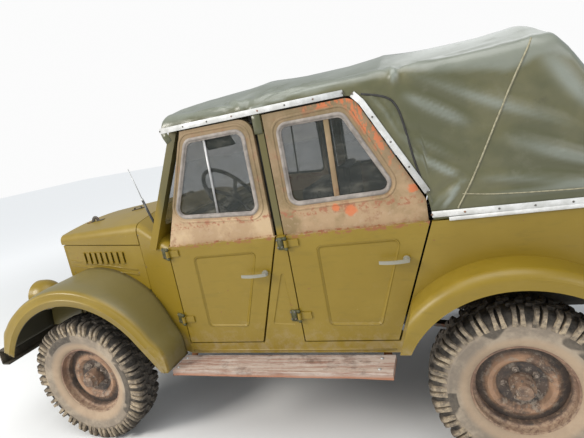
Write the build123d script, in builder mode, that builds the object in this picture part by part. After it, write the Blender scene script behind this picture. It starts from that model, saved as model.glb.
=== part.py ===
from build123d import *
import os
from math import sqrt

# Light army 4x4 car with a canvas top, in millimetres.
# +X forward, +Y to the driver's side, +Z up, origin on the ground under the middle of the car.

# Overall size and running gear
REAR_OVERHANG = 910
WHEELBASE = 2300
FRONT_OVERHANG = 640
TRACK = 1440
TYRE_R = 380
TYRE_WIDTH = 180
BEAD_R = 205
RIM_FLANGE_R = 219
RIM_WIDTH = 130
STUD_CIRCLE = 139.7
STUD_COUNT = 5

LENGTH = REAR_OVERHANG + WHEELBASE + FRONT_OVERHANG
REAR_END_X = -LENGTH / 2
REAR_AXLE_X = REAR_END_X + REAR_OVERHANG
FRONT_AXLE_X = REAR_AXLE_X + WHEELBASE


def at(x):
    """Station on the car, given as a distance ahead of the rear axle."""
    return REAR_AXLE_X + x


def fore(x):
    """Station on the car, given as a distance ahead of the front axle."""
    return FRONT_AXLE_X + x


# Body
BODY_HALF = 705
WALL = 25
DOOR_THICK = 36
GAP = 6
BELT_Z = 1120
DOOR_BOTTOM_Z = 579
SILL_BOTTOM_Z = 515
TUB_BOTTOM_Z = 600
REAR_WALL_X = REAR_END_X + 25
COWL_REAR_X = fore(-699)
COWL_FRONT_X = fore(-450)
NOSE_X = fore(240)
BAY_REAR_HALF = BODY_HALF - 105
BAY_FRONT_HALF = BODY_HALF - 235
SHEET = 12
SILL_TOP_Z = DOOR_BOTTOM_Z - GAP
FLOOR_Z = SILL_TOP_Z + SHEET
SILL_INNER_Y = BODY_HALF - 105
FLOOR_HALF = BODY_HALF - 55
DECK_Z = 680
ARCH_R = 500
DECK_FRONT_X = at(ARCH_R + 45)

# Doors: front edge, and the slanted rear edge at the belt and at the door's foot
FRONT_DOOR = (fore(-705), fore(-1304), fore(-1131))
REAR_DOOR = (fore(-1360), at(292), at(488))
DOOR_TOP_Z = 1682
ROOF_RAIL_Z = DOOR_TOP_Z + GAP
FRAME_OUT = BODY_HALF - 20
FRAME_THICK = 24
DOOR_SWING_Y = BODY_HALF + 12
DOOR_CORNER_R = 70
WINDOW_CORNER_R = 45

# Frame
RAIL_Y = 350
RAIL_WIDTH = 60
RAIL_HEIGHT = 100
RAIL_GAUGE = 8
RAIL_Z = FLOOR_Z - SHEET - RAIL_HEIGHT / 2
KICK_Z = DECK_Z - SHEET - RAIL_HEIGHT / 2
BUMPER_Z = 546
BUMPER_HEIGHT = 100
BUMPER_DEPTH = 60
BUMPER_HALF = BODY_HALF + 100
BUMPER_X = LENGTH / 2

# Axles and steering
AXLE_TUBE_R = 40
DIFF_R = 118
DIFF_Y = -140
KINGPIN_Y = 575
BALL_R = 66
CUP_GAP = 3
CUP_WALL = 12
KINGPIN_R = 14
PIN_FIT = 0.08
ARM_LENGTH = 180
ARM_Z = TYRE_R - 85
TIE_ROD_R = 12
EYE_R = 22
SPINDLE_R = 24
DRUM_R = 140

# Roof and windscreen
ROOF_CROWN_Z = 1880
SHOULDER_HALF = BODY_HALF - 105
CANVAS = 8
SCREEN_FOOT = (fore(-625), 1178)
SCREEN_TOP = (fore(-850), 1703)
SCREEN_FOOT_HALF = BODY_HALF - 15
SCREEN_TOP_HALF = BODY_HALF - 75
SCREEN_BAR = 45
SCREEN_DEPTH = 40

# Seats and controls
STEERING_HUB = (fore(-970), 360, 1290)
COLUMN_FOOT = (fore(-250), 360, 727)
STEERING_R = 205
COLUMN_R = 19
COLUMN_HOLE_R = COLUMN_R + 4


def side_plane(y):
    """Plane seen from the right, on which a sketch is in X and Z, at this Y."""
    return Plane.XZ.offset(-y)


def station(x):
    """Cross plane, on which a sketch is in Y and Z, at this X."""
    return Plane.YZ.offset(x)


def keep(piece, name):
    """Label a finished piece and write it out under its name."""
    piece.label = name
    export_step(piece, f"parts/{name}.step")


def band(line, depth):
    """Closed outline of a strip of this depth, centred on a line of points."""
    upper = [(x, z + depth / 2) for x, z in line]
    lower = [(x, z - depth / 2) for x, z in reversed(line)]
    return upper + lower


os.makedirs("parts", exist_ok=True)

# Frame: two channel rails that rise over the axles, cross members and a tow jaw
RAIL_LINE = (
    (REAR_END_X + 50, KICK_Z),
    (at(330), KICK_Z),
    (at(540), RAIL_Z),
    (fore(-580), RAIL_Z),
    (fore(-340), KICK_Z),
    (fore(260), KICK_Z),
    (BUMPER_X - BUMPER_DEPTH, BUMPER_Z),
)
# Cross members: station, height of the centre
CROSS_MEMBERS = (
    (REAR_END_X + 80, KICK_Z),
    (at(-300), KICK_Z),
    (at(600), RAIL_Z + 10),
    (fore(-1320), RAIL_Z + 10),
    (BUMPER_X - 240, BUMPER_Z + 40),
)
CROSS_DEPTH = 60

# Tow jaw under the rear cross member, with a bore for its pin
JAW_LENGTH = 90
JAW_WIDTH = 70
JAW_HEIGHT = 50
JAW_OPENING = 26
JAW_MOUTH = 46
JAW_PIN_IN = 22
JAW_PIN_R = 11
JAW_Z = KICK_Z - CROSS_DEPTH / 2 - JAW_HEIGHT / 2 + 8

# Spring hangers: station and height of the spring's eye
SPRING_HALF = 430
SPRING_RISE = 40
LEAF = 9
LEAF_COUNT = 5
SPRING_WIDTH = 50
SPRING_SEAT_Z = TYRE_R + AXLE_TUBE_R + 2
SPRING_EYE_Z = SPRING_SEAT_Z + (LEAF_COUNT - 1) * (LEAF - 1) + SPRING_RISE + LEAF / 2
HANGER = (RAIL_WIDTH - SPRING_WIDTH) / 2
HANGER_LOW_Z = SPRING_EYE_Z - 18
HANGER_TOP_Z = KICK_Z - RAIL_HEIGHT / 4
HANGER_LENGTH = 44

with BuildPart() as rail_solids:
    for side in (1, -1):
        with BuildSketch(side_plane(side * (RAIL_Y + RAIL_WIDTH / 2))):
            with BuildLine():
                Polyline(*band(RAIL_LINE, RAIL_HEIGHT), close=True)
            make_face()
        extrude(amount=side * RAIL_WIDTH)

with BuildPart() as frame:
    add(rail_solids.part)
    for side in (1, -1):
        with BuildSketch(side_plane(side * (RAIL_Y - RAIL_WIDTH / 2))):
            with BuildLine():
                Polyline(*band(RAIL_LINE, RAIL_HEIGHT - 2 * RAIL_GAUGE), close=True)
            make_face()
        extrude(amount=-side * (RAIL_WIDTH - RAIL_GAUGE), mode=Mode.SUBTRACT)
keep(frame.part, "frame")

# What is riveted to the rails: cheeks of the spring hangers, cross members and the tow jaw
CHEEK_IN = (SPRING_WIDTH + HANGER) / 2
with BuildPart() as frame_fittings:
    for x in (at(SPRING_HALF), at(-SPRING_HALF), fore(SPRING_HALF), fore(-SPRING_HALF)):
        for cheek_y in (RAIL_Y + CHEEK_IN, RAIL_Y - CHEEK_IN):
            with Locations(
                (x, cheek_y, (HANGER_LOW_Z + HANGER_TOP_Z) / 2),
                (x, -cheek_y, (HANGER_LOW_Z + HANGER_TOP_Z) / 2),
            ):
                Box(HANGER_LENGTH, HANGER, HANGER_TOP_Z - HANGER_LOW_Z)
    add(rail_solids.part, mode=Mode.SUBTRACT)
    for x, z in CROSS_MEMBERS:
        with Locations((x, 0, z)):
            Box(CROSS_DEPTH, 2 * (RAIL_Y + RAIL_WIDTH / 2 - RAIL_GAUGE), CROSS_DEPTH)
    with Locations((REAR_END_X + JAW_LENGTH / 2, 0, JAW_Z)):
        Box(JAW_LENGTH, JAW_WIDTH, JAW_HEIGHT)
    with Locations((REAR_END_X, 0, JAW_Z)):
        Box(2 * JAW_MOUTH, JAW_WIDTH, JAW_OPENING, mode=Mode.SUBTRACT)
    with Locations((REAR_END_X + JAW_PIN_IN, 0, JAW_Z)):
        Cylinder(JAW_PIN_R, 2 * JAW_HEIGHT, mode=Mode.SUBTRACT)
keep(frame_fittings.part, "frame_fittings")

# Front bumper: a channel open to the rear
with BuildPart() as front_bumper:
    with Locations((BUMPER_X - BUMPER_DEPTH / 2, 0, BUMPER_Z)):
        Box(BUMPER_DEPTH, 2 * BUMPER_HALF, BUMPER_HEIGHT)
    fillet(front_bumper.faces().sort_by(Axis.X)[-1].edges().filter_by(Axis.Y), 12)
    with Locations((BUMPER_X - BUMPER_DEPTH / 2 - RAIL_GAUGE, 0, BUMPER_Z)):
        Box(BUMPER_DEPTH, 2 * BUMPER_HALF, BUMPER_HEIGHT - 2 * RAIL_GAUGE, mode=Mode.SUBTRACT)
keep(front_bumper.part, "front_bumper")

# Axles: tube, differential with its nose, and at the front the balls that carry the knuckles
DIFF_NOSE = 190


def axle_casing(x, nose):
    """Tube and differential; nose is 1 where the drive comes in from ahead, -1 from behind."""
    with Locations((x, 0, TYRE_R)):
        Cylinder(AXLE_TUBE_R, 2 * (KINGPIN_Y - BALL_R / 2), rotation=(90, 0, 0))
    with Locations((x, DIFF_Y, TYRE_R)):
        Sphere(DIFF_R)
    with Locations((x + nose * DIFF_NOSE / 2, DIFF_Y, TYRE_R)):
        Cylinder(42, DIFF_NOSE, rotation=(0, 90, 0))
    with Locations(
        (x, RAIL_Y, TYRE_R + AXLE_TUBE_R - 4),
        (x, -RAIL_Y, TYRE_R + AXLE_TUBE_R - 4),
    ):
        Box(100, 60, 12)


with BuildPart() as front_axle:
    axle_casing(FRONT_AXLE_X, -1)
    for side in (1, -1):
        with Locations((FRONT_AXLE_X, side * KINGPIN_Y, TYRE_R)):
            Sphere(BALL_R)
            Cylinder(KINGPIN_R + PIN_FIT, 3 * BALL_R, mode=Mode.SUBTRACT)
keep(front_axle.part, "front_axle")

BACKING_Y = 668
with BuildPart() as rear_axle:
    axle_casing(at(0), 1)
    for side in (1, -1):
        with Locations((at(0), side * (KINGPIN_Y + BACKING_Y - BALL_R) / 2, TYRE_R)):
            Cylinder(AXLE_TUBE_R, BACKING_Y - KINGPIN_Y + BALL_R, rotation=(90, 0, 0))
        with Locations((at(0), side * (BACKING_Y - 4), TYRE_R)):
            Cylinder(DRUM_R + 8, 8, rotation=(90, 0, 0))
        with Locations((at(0), side * (BACKING_Y + 40), TYRE_R)):
            Cylinder(SPINDLE_R, 80, rotation=(90, 0, 0))
keep(rear_axle.part, "rear_axle")

# Knuckle: a cup round the ball, kingpins, backing plate, spindle and a straight steering arm
CUP_INNER = BALL_R + CUP_GAP
CUP_R = CUP_INNER + CUP_WALL
CUP_EDGE = 26
BRAKE_R = DRUM_R + 8
SPINDLE_END = BACKING_Y + 80
ARM_PIN_R = TIE_ROD_R - 2


def axle_plane(x, side):
    """Plane through a wheel's axis: distance from the car's middle outwards, then radius."""
    return Plane(origin=(x, 0, TYRE_R), x_dir=(0, side, 0), z_dir=(side, 0, 0))


def axle_axis(x):
    """Axis of a pair of wheels."""
    return Axis((x, 0, TYRE_R), (0, 1, 0))


def on_sphere(radius, along):
    """Point of a ball's outline at this distance along the axle from the kingpin."""
    return (KINGPIN_Y + along, sqrt(radius**2 - along**2))


def build_knuckle(side):
    """Knuckle and everything on it, for the left (1) or right (-1) wheel."""
    x = FRONT_AXLE_X
    with BuildPart() as knuckle:
        with BuildSketch(axle_plane(x, side)):
            with BuildLine():
                inner_arc = ThreePointArc(
                    on_sphere(CUP_INNER, -CUP_EDGE), on_sphere(CUP_INNER, 0), on_sphere(CUP_INNER, 45)
                )
                outer_arc = ThreePointArc(
                    on_sphere(CUP_R, -CUP_EDGE), on_sphere(CUP_R, 0), on_sphere(CUP_R, 55)
                )
                Line(inner_arc @ 0, outer_arc @ 0)
                Polyline(
                    outer_arc @ 1,
                    (BACKING_Y - 8, 58),
                    (BACKING_Y - 8, BRAKE_R),
                    (BACKING_Y, BRAKE_R),
                    (BACKING_Y, SPINDLE_R),
                    (SPINDLE_END, SPINDLE_R),
                    (SPINDLE_END, 0),
                    (KINGPIN_Y + CUP_INNER + 2, 0),
                    (KINGPIN_Y + CUP_INNER + 2, (inner_arc @ 1).Y),
                    inner_arc @ 1,
                )
            make_face()
        revolve(axis=axle_axis(x))
        with Locations(
            (x, side * KINGPIN_Y, TYRE_R + CUP_R - 15),
            (x, side * KINGPIN_Y, TYRE_R - CUP_R + 15),
        ):
            Cylinder(KINGPIN_R, 40)
        with Locations((x, side * KINGPIN_Y, (ARM_Z + TYRE_R - CUP_R + 9) / 2 - 3)):
            Cylinder(26, TYRE_R - CUP_R + 9 - ARM_Z)
        with Locations((x - ARM_LENGTH / 2, side * KINGPIN_Y, ARM_Z)):
            Box(ARM_LENGTH, 36, 14)
        with Locations((x - ARM_LENGTH, side * KINGPIN_Y, ARM_Z)):
            Cylinder(18, 14)
        with Locations((x - ARM_LENGTH, side * KINGPIN_Y, ARM_Z - 20)):
            Cylinder(ARM_PIN_R, 40)
    return knuckle.part


keep(build_knuckle(1), "knuckle_left")
keep(build_knuckle(-1), "knuckle_right")

# Tie rod: a tube with an eye at each end, under the steering arms
TIE_ROD_Z = ARM_Z - 22
EYE_HEIGHT = 22
with BuildPart() as tie_rod:
    with Locations((FRONT_AXLE_X - ARM_LENGTH, 0, TIE_ROD_Z)):
        Cylinder(TIE_ROD_R, 2 * KINGPIN_Y - 2 * EYE_R + 8, rotation=(90, 0, 0))
    with Locations(
        (FRONT_AXLE_X - ARM_LENGTH, KINGPIN_Y, TIE_ROD_Z),
        (FRONT_AXLE_X - ARM_LENGTH, -KINGPIN_Y, TIE_ROD_Z),
    ):
        Cylinder(EYE_R, EYE_HEIGHT)
        Cylinder(ARM_PIN_R + PIN_FIT, 2 * EYE_HEIGHT, mode=Mode.SUBTRACT)
keep(tie_rod.part, "tie_rod")

# Leaf springs, one over each end of each axle
with BuildPart() as springs:
    for axle_x in (at(0), FRONT_AXLE_X):
        for side in (1, -1):
            with BuildSketch(side_plane(side * RAIL_Y + SPRING_WIDTH / 2)):
                for number in range(LEAF_COUNT):
                    half = SPRING_HALF * (number + 1.5) / (LEAF_COUNT + 0.5)
                    low = SPRING_SEAT_Z + number * (LEAF - 1)
                    end = low + SPRING_RISE * (half / SPRING_HALF) ** 2
                    with BuildLine():
                        under = ThreePointArc((axle_x - half, end), (axle_x, low), (axle_x + half, end))
                        over = ThreePointArc(
                            (axle_x - half, end + LEAF), (axle_x, low + LEAF), (axle_x + half, end + LEAF)
                        )
                        Line(under @ 0, over @ 0)
                        Line(under @ 1, over @ 1)
                    make_face()
                with Locations((axle_x - SPRING_HALF, SPRING_EYE_Z), (axle_x + SPRING_HALF, SPRING_EYE_Z)):
                    Circle(15)
            extrude(amount=SPRING_WIDTH)
keep(springs.part, "springs")

# Engine block, plain and solid, with gearbox and transfer case behind it
ENGINE_FRONT_X = fore(70)
ENGINE_REAR_X = fore(-510)
with BuildPart() as engine_block:
    with Locations(((ENGINE_FRONT_X + ENGINE_REAR_X) / 2, 0, 830)):
        Box(ENGINE_FRONT_X - ENGINE_REAR_X, 400, 480)
keep(engine_block.part, "engine_block")

GEARBOX_REAR_X = fore(-1220)
GEARBOX_Z = 570
OUTPUT_Z = 455
BELL_LENGTH = 180
CASE_LENGTH = 200
CASE_HEIGHT = 165
with BuildPart() as gearbox:
    with BuildSketch(station(ENGINE_REAR_X)):
        with Locations((0, 690)):
            Circle(150)
    with BuildSketch(station(ENGINE_REAR_X - BELL_LENGTH)):
        with Locations((0, GEARBOX_Z + 20)):
            Circle(95)
    loft()
    with Locations(((ENGINE_REAR_X - BELL_LENGTH + GEARBOX_REAR_X) / 2, 0, GEARBOX_Z)):
        Box(ENGINE_REAR_X - BELL_LENGTH - GEARBOX_REAR_X, 170, 150)
    with Locations((GEARBOX_REAR_X + CASE_LENGTH / 2, DIFF_Y / 2, FLOOR_Z - SHEET - CASE_HEIGHT / 2)):
        Box(CASE_LENGTH, 2 * abs(DIFF_Y), CASE_HEIGHT)
keep(gearbox.part, "gearbox")

# Propeller shafts, from the transfer case to each differential
SHAFT_R = 28
JOINT_LENGTH = 70
SHAFTS = (
    (
        (GEARBOX_REAR_X - JOINT_LENGTH / 2, DIFF_Y, OUTPUT_Z),
        (at(DIFF_NOSE) + JOINT_LENGTH / 2, DIFF_Y, TYRE_R),
    ),
    (
        (GEARBOX_REAR_X + CASE_LENGTH + JOINT_LENGTH / 2, DIFF_Y, OUTPUT_Z),
        (fore(-DIFF_NOSE) - JOINT_LENGTH / 2, DIFF_Y, TYRE_R),
    ),
)
with BuildPart() as propshafts:
    for start, end in SHAFTS:
        run = Vector(*end) - Vector(*start)
        with BuildSketch(Plane(origin=start, z_dir=run)):
            Circle(SHAFT_R)
        extrude(amount=run.length)
        with Locations(start, end):
            Cylinder(SHAFT_R + 14, JOINT_LENGTH, rotation=(0, 90, 0))
keep(propshafts.part, "propshafts")

# Radiator behind the grille
with BuildPart() as radiator:
    with Locations((NOSE_X - 75, 0, 850)):
        Box(60, 520, 440)
    fillet(radiator.edges().filter_by(Axis.Z), 12)
keep(radiator.part, "radiator")

# Exhaust: down pipe, silencer and tail pipe on the right
PIPE_R = 20
EXHAUST_Y = -470
MUFFLER_Z = 505
PIPE_ROUTE = (
    (fore(-420), -226, 690),
    (fore(-450), -230, 440),
    (fore(-700), EXHAUST_Y, 440),
    (fore(-1090), EXHAUST_Y, MUFFLER_Z),
)
with BuildPart() as exhaust:
    with BuildLine():
        FilletPolyline(*PIPE_ROUTE, radius=70)
    with BuildSketch(Plane(origin=PIPE_ROUTE[0], z_dir=Vector(*PIPE_ROUTE[1]) - Vector(*PIPE_ROUTE[0]))):
        Circle(PIPE_R)
    sweep()
    with Locations((fore(-1350), EXHAUST_Y, MUFFLER_Z)):
        Cylinder(58, 520, rotation=(0, 90, 0))
    with Locations((at(600), EXHAUST_Y, MUFFLER_Z)):
        Cylinder(PIPE_R, 220, rotation=(0, 90, 0))
keep(exhaust.part, "exhaust")

# Fuel tank slung between the rails behind the rear axle
with BuildPart() as fuel_tank:
    with Locations((at(-580), 0, 510)):
        Box(360, 580, 170)
    fillet(fuel_tank.edges(), 18)
keep(fuel_tank.part, "fuel_tank")

# Cowl: flared sides, crowned top and firewall, open to the cabin
INNER_HALF = BODY_HALF - WALL
TOE_X = fore(-680)
FIREWALL_X = fore(-530)
TUNNEL_REAR_X = fore(-1300)
TUNNEL_HALF = 185
TUNNEL_REAR_RISE = 120
TUNNEL_FRONT_RISE = 300
# Sections: station, half width, height of the shoulder, height of the crown
COWL_SECTIONS = (
    (COWL_REAR_X, BODY_HALF, 1128, 1178),
    (COWL_FRONT_X, BAY_REAR_HALF, 1235, 1292),
)
SHOULDER_R = 55
FIREWALL_LOW_Z = FLOOR_Z - SHEET + TUNNEL_FRONT_RISE
FIREWALL_REACH = 600


def arch_face(x, half, low, shoulder, crown, corner):
    """Section on a cross plane: upright sides, rounded shoulders and a crowned top."""
    with BuildSketch(station(x)) as section:
        with BuildLine():
            Polyline((-half, shoulder), (-half, low), (half, low), (half, shoulder))
            ThreePointArc((half, shoulder), (0, crown), (-half, shoulder))
        make_face()
        fillet(section.vertices().sort_by(Axis.Y)[-2:], corner)
    return section.sketch


with BuildPart() as cowl:
    for x, half, shoulder, crown in COWL_SECTIONS:
        add(arch_face(x, half, SILL_BOTTOM_Z, shoulder, crown, SHOULDER_R))
    loft()
    cowl_form = cowl.part
with BuildPart() as cowl_hollow:
    for x, half, shoulder, crown in COWL_SECTIONS:
        add(arch_face(x, half - SHEET, SILL_BOTTOM_Z - SHEET, shoulder - SHEET, crown - SHEET, SHOULDER_R))
    loft()
with BuildPart() as cowl_shell:
    add(cowl_form)
    add(cowl_hollow.part, mode=Mode.SUBTRACT)
    with BuildSketch(station(FIREWALL_X)):
        with Locations((0, FIREWALL_LOW_Z + FIREWALL_REACH / 2)):
            Rectangle(2 * BODY_HALF, FIREWALL_REACH)
    extrude(amount=SHEET)
    add(cowl_form, mode=Mode.INTERSECT)
    with BuildSketch(Plane(origin=COLUMN_FOOT, z_dir=Vector(*STEERING_HUB) - Vector(*COLUMN_FOOT))):
        Circle(COLUMN_HOLE_R)
    extrude(amount=600, mode=Mode.SUBTRACT)
keep(cowl_shell.part, "cowl")

# Floor pan: front floor, tunnel, toe board and the riser up to the rear deck
HOUSE_R = ARCH_R + 20
HOUSE_INNER_Y = (TRACK - TYRE_WIDTH) / 2 - 85
HOUSE_REAR_X = at(-400)
TOE_BOARD = (
    (TOE_X, FLOOR_Z - SHEET / 2),
    (FIREWALL_X, FLOOR_Z + TUNNEL_FRONT_RISE - 2 * SHEET),
)
with BuildPart() as toe_board:
    with BuildSketch(side_plane(BODY_HALF)):
        with BuildLine():
            Polyline(*band(TOE_BOARD, SHEET), close=True)
        make_face()
    extrude(amount=2 * BODY_HALF)
    add(cowl_hollow.part, mode=Mode.INTERSECT)

with BuildPart() as floor_pan:
    add(toe_board.part)
    with Locations(((DECK_FRONT_X + TOE_X) / 2, 0, FLOOR_Z - SHEET / 2)):
        Box(TOE_X - DECK_FRONT_X, 2 * FLOOR_HALF, SHEET)
    with Locations((DECK_FRONT_X + SHEET / 2, 0, (FLOOR_Z + DECK_Z) / 2 - SHEET)):
        Box(SHEET, 2 * FLOOR_HALF, DECK_Z - FLOOR_Z)
    for inset, mode in ((0, Mode.ADD), (SHEET, Mode.SUBTRACT)):
        with BuildSketch(station(TUNNEL_REAR_X + inset)):
            with Locations((0, FLOOR_Z - SHEET + (TUNNEL_REAR_RISE - inset) / 2)):
                Rectangle(2 * (TUNNEL_HALF - inset), TUNNEL_REAR_RISE - inset)
        with BuildSketch(station(FIREWALL_X + inset)):
            with Locations((0, FLOOR_Z - SHEET + (TUNNEL_FRONT_RISE - inset) / 2)):
                Rectangle(2 * (TUNNEL_HALF - inset), TUNNEL_FRONT_RISE - inset)
        loft(mode=mode)
keep(floor_pan.part, "floor_pan")

# Rear deck on the rails, with the two wheelhouses let into it
with BuildPart() as rear_deck:
    deck_length = DECK_FRONT_X + SHEET - REAR_WALL_X - WALL
    with Locations((DECK_FRONT_X + SHEET - deck_length / 2, 0, DECK_Z - SHEET / 2)):
        Box(deck_length, 2 * FLOOR_HALF, SHEET)
    edge_length = HOUSE_REAR_X - REAR_WALL_X - WALL
    with Locations((HOUSE_REAR_X - edge_length / 2, 0, DECK_Z - SHEET / 2)):
        Box(edge_length, 2 * INNER_HALF, SHEET)
    for side in (1, -1):
        with BuildSketch(side_plane(side * INNER_HALF)):
            with Locations((at(0), TYRE_R)):
                Circle(HOUSE_R)
            with Locations((at(0), DECK_Z - SHEET - HOUSE_R)):
                Rectangle(3 * HOUSE_R, 2 * HOUSE_R, mode=Mode.SUBTRACT)
        extrude(amount=side * (INNER_HALF - HOUSE_INNER_Y))
        with BuildSketch(side_plane(side * INNER_HALF)):
            with Locations((at(0), TYRE_R)):
                Circle(HOUSE_R - SHEET)
        extrude(amount=side * (INNER_HALF - HOUSE_INNER_Y - SHEET), mode=Mode.SUBTRACT)
keep(rear_deck.part, "rear_deck")

# Quarter panels: rear body sides, with the wheel arch cut out
SLANT_GAP = GAP + 3
REAR_SLANT = (REAR_DOOR[2] - SLANT_GAP, REAR_DOOR[1] - SLANT_GAP)
with BuildPart() as quarter_panels:
    with BuildSketch(side_plane(BODY_HALF)):
        with BuildLine():
            Polyline(
                (REAR_WALL_X + WALL, BELT_Z),
                (REAR_WALL_X + WALL, TUB_BOTTOM_Z),
                (at(0), TUB_BOTTOM_Z),
                (at(0), SILL_BOTTOM_Z),
                (REAR_SLANT[0], SILL_BOTTOM_Z),
                (REAR_SLANT[0], DOOR_BOTTOM_Z),
                (REAR_SLANT[1], BELT_Z),
                close=True,
            )
        make_face()
        with Locations((at(0), TYRE_R)):
            Circle(ARCH_R, mode=Mode.SUBTRACT)
    extrude(amount=WALL)
    mirror(about=Plane.XZ)
keep(quarter_panels.part, "quarter_panels")

# Sills with the centre posts that carry the rear doors' hinges
SILL_DEPTH = BODY_HALF - SILL_INNER_Y
POST_REAR_X = REAR_DOOR[0] + GAP
POST_TOP_X = FRONT_DOOR[1] - SLANT_GAP
POST_FOOT_X = FRONT_DOOR[2] - SLANT_GAP
UPPER_POST = (fore(-1341), fore(-1310))
POST_PRESSING = ((fore(-1313), 978), (fore(-1207), 675), (fore(-1325), 666))
PRESS_DEPTH = 4
with BuildPart() as sills_and_posts:
    with BuildSketch(side_plane(BODY_HALF)):
        with BuildLine():
            Polyline(
                (REAR_SLANT[0], SILL_BOTTOM_Z),
                (COWL_REAR_X, SILL_BOTTOM_Z),
                (COWL_REAR_X, SILL_TOP_Z),
                (REAR_SLANT[0], SILL_TOP_Z),
                close=True,
            )
        make_face()
    extrude(amount=SILL_DEPTH)
    with BuildSketch(side_plane(BODY_HALF)):
        with BuildLine():
            Polyline(
                (POST_REAR_X, SILL_TOP_Z),
                (POST_FOOT_X, SILL_TOP_Z),
                (POST_TOP_X, BELT_Z),
                (POST_REAR_X, BELT_Z),
                close=True,
            )
        make_face()
    extrude(amount=DOOR_THICK + 10)
    with BuildSketch(side_plane(BODY_HALF)) as post_press:
        with BuildLine():
            Polyline(*POST_PRESSING, close=True)
        make_face()
        fillet(post_press.vertices(), 10)
    extrude(amount=PRESS_DEPTH, taper=45, mode=Mode.SUBTRACT)
    with BuildSketch(side_plane(FRAME_OUT)):
        with Locations(((UPPER_POST[0] + UPPER_POST[1]) / 2, (BELT_Z + ROOF_RAIL_Z) / 2)):
            Rectangle(UPPER_POST[1] - UPPER_POST[0], ROOF_RAIL_Z - BELT_Z)
    extrude(amount=FRAME_THICK)
    mirror(about=Plane.XZ)
keep(sills_and_posts.part, "sills_and_posts")

# Rear panel with the tailgate let into it
TAILGATE_HALF = BODY_HALF - 185
TAILGATE_LOW_Z = 800
GATE_PIN_OUT = 4
GATE_PIN_UP = 12
GATE_BARREL_R = 8
GATE_HINGE_Y = 350
with BuildPart() as rear_panel:
    with Locations((REAR_WALL_X + WALL / 2, 0, (TUB_BOTTOM_Z + BELT_Z) / 2)):
        Box(WALL, 2 * BODY_HALF, BELT_Z - TUB_BOTTOM_Z)
    with Locations((REAR_WALL_X + WALL / 2, 0, (TAILGATE_LOW_Z - GAP + BELT_Z + GAP) / 2)):
        Box(2 * WALL, 2 * (TAILGATE_HALF + GAP), BELT_Z + GAP - TAILGATE_LOW_Z + GAP, mode=Mode.SUBTRACT)
    with Locations((REAR_WALL_X + WALL / 2, 0, TUB_BOTTOM_Z)):
        Box(2 * WALL, JAW_WIDTH + 30, 2 * JAW_HEIGHT, mode=Mode.SUBTRACT)
keep(rear_panel.part, "rear_panel")

with BuildPart() as tailgate:
    with Locations((REAR_WALL_X + WALL / 2, 0, (TAILGATE_LOW_Z + BELT_Z) / 2)):
        Box(WALL, 2 * TAILGATE_HALF, BELT_Z - TAILGATE_LOW_Z)
    fillet(tailgate.edges().filter_by(Axis.X), 20)
    with Locations(
        (REAR_WALL_X - GATE_PIN_OUT, GATE_HINGE_Y, TAILGATE_LOW_Z + GATE_PIN_UP),
        (REAR_WALL_X - GATE_PIN_OUT, -GATE_HINGE_Y, TAILGATE_LOW_Z + GATE_PIN_UP),
    ):
        Cylinder(GATE_BARREL_R, 60, rotation=(90, 0, 0))
keep(tailgate.part, "tailgate")

# Grille panel: upright slots between two flanks
SEAM_FRONT_Z = 1144
SEAM_REAR_Z = 1125
PANEL = 25
GRILLE_LOW_Z = KICK_Z + RAIL_HEIGHT / 2
SLOT_COUNT = 9
SLOT_PITCH = 62
SLOT_WIDTH = 30
SLOT_HEIGHT = 300
with BuildPart() as grille_panel:
    with Locations((NOSE_X - PANEL / 2, 0, (GRILLE_LOW_Z + SEAM_FRONT_Z - GAP) / 2)):
        Box(PANEL, 2 * BAY_FRONT_HALF, SEAM_FRONT_Z - GAP - GRILLE_LOW_Z)
    with BuildSketch(station(NOSE_X + PANEL)):
        with Locations((0, 920)):
            with GridLocations(SLOT_PITCH, 1, SLOT_COUNT, 1):
                SlotOverall(SLOT_HEIGHT, SLOT_WIDTH, rotation=90)
    extrude(amount=-3 * PANEL, mode=Mode.SUBTRACT)
keep(grille_panel.part, "grille_panel")

# Bonnet: crowned lid from the cowl to the grille, closed at its front
BONNET_REAR_X = COWL_FRONT_X + GAP
BONNET_FRONT_X = NOSE_X + SHEET
# Sections: station, half width, seam, shoulder, crown, radius of the shoulder
BONNET_SECTIONS = (
    (BONNET_REAR_X, BAY_REAR_HALF, SEAM_REAR_Z, 1235, 1292, 55),
    (BONNET_FRONT_X, BAY_FRONT_HALF, SEAM_FRONT_Z, 1196, 1236, 40),
)
# Hinge of the bonnet: two barrels on the crown, just ahead of the cowl
BONNET_BARREL_R = 8
BONNET_BARREL = 60
BONNET_LEAF = 50
BONNET_HINGE_Y = 45
BONNET_PIN_X = BONNET_REAR_X + 5
BONNET_PIN_Z = BONNET_SECTIONS[0][4] + BONNET_BARREL_R - 2
with BuildPart() as bonnet_hollow:
    for x, half, seam, shoulder, crown, corner in BONNET_SECTIONS:
        add(arch_face(x - SHEET, half - SHEET, seam - 50, shoulder - SHEET, crown - SHEET, corner - SHEET))
    loft()
with BuildPart() as bonnet:
    for x, half, seam, shoulder, crown, corner in BONNET_SECTIONS:
        add(arch_face(x, half, seam, shoulder, crown, corner))
    loft()
    add(bonnet_hollow.part, mode=Mode.SUBTRACT)
    for side in (1, -1):
        with Locations((BONNET_PIN_X, side * BONNET_HINGE_Y, BONNET_PIN_Z)):
            Cylinder(BONNET_BARREL_R, BONNET_BARREL, rotation=(90, 0, 0))
        leaf_x = BONNET_PIN_X + BONNET_LEAF / 2
        with Locations((leaf_x, side * BONNET_HINGE_Y, BONNET_PIN_Z - BONNET_BARREL_R)):
            Box(BONNET_LEAF, BONNET_BARREL, BONNET_BARREL_R)
keep(bonnet.part, "bonnet")

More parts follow.
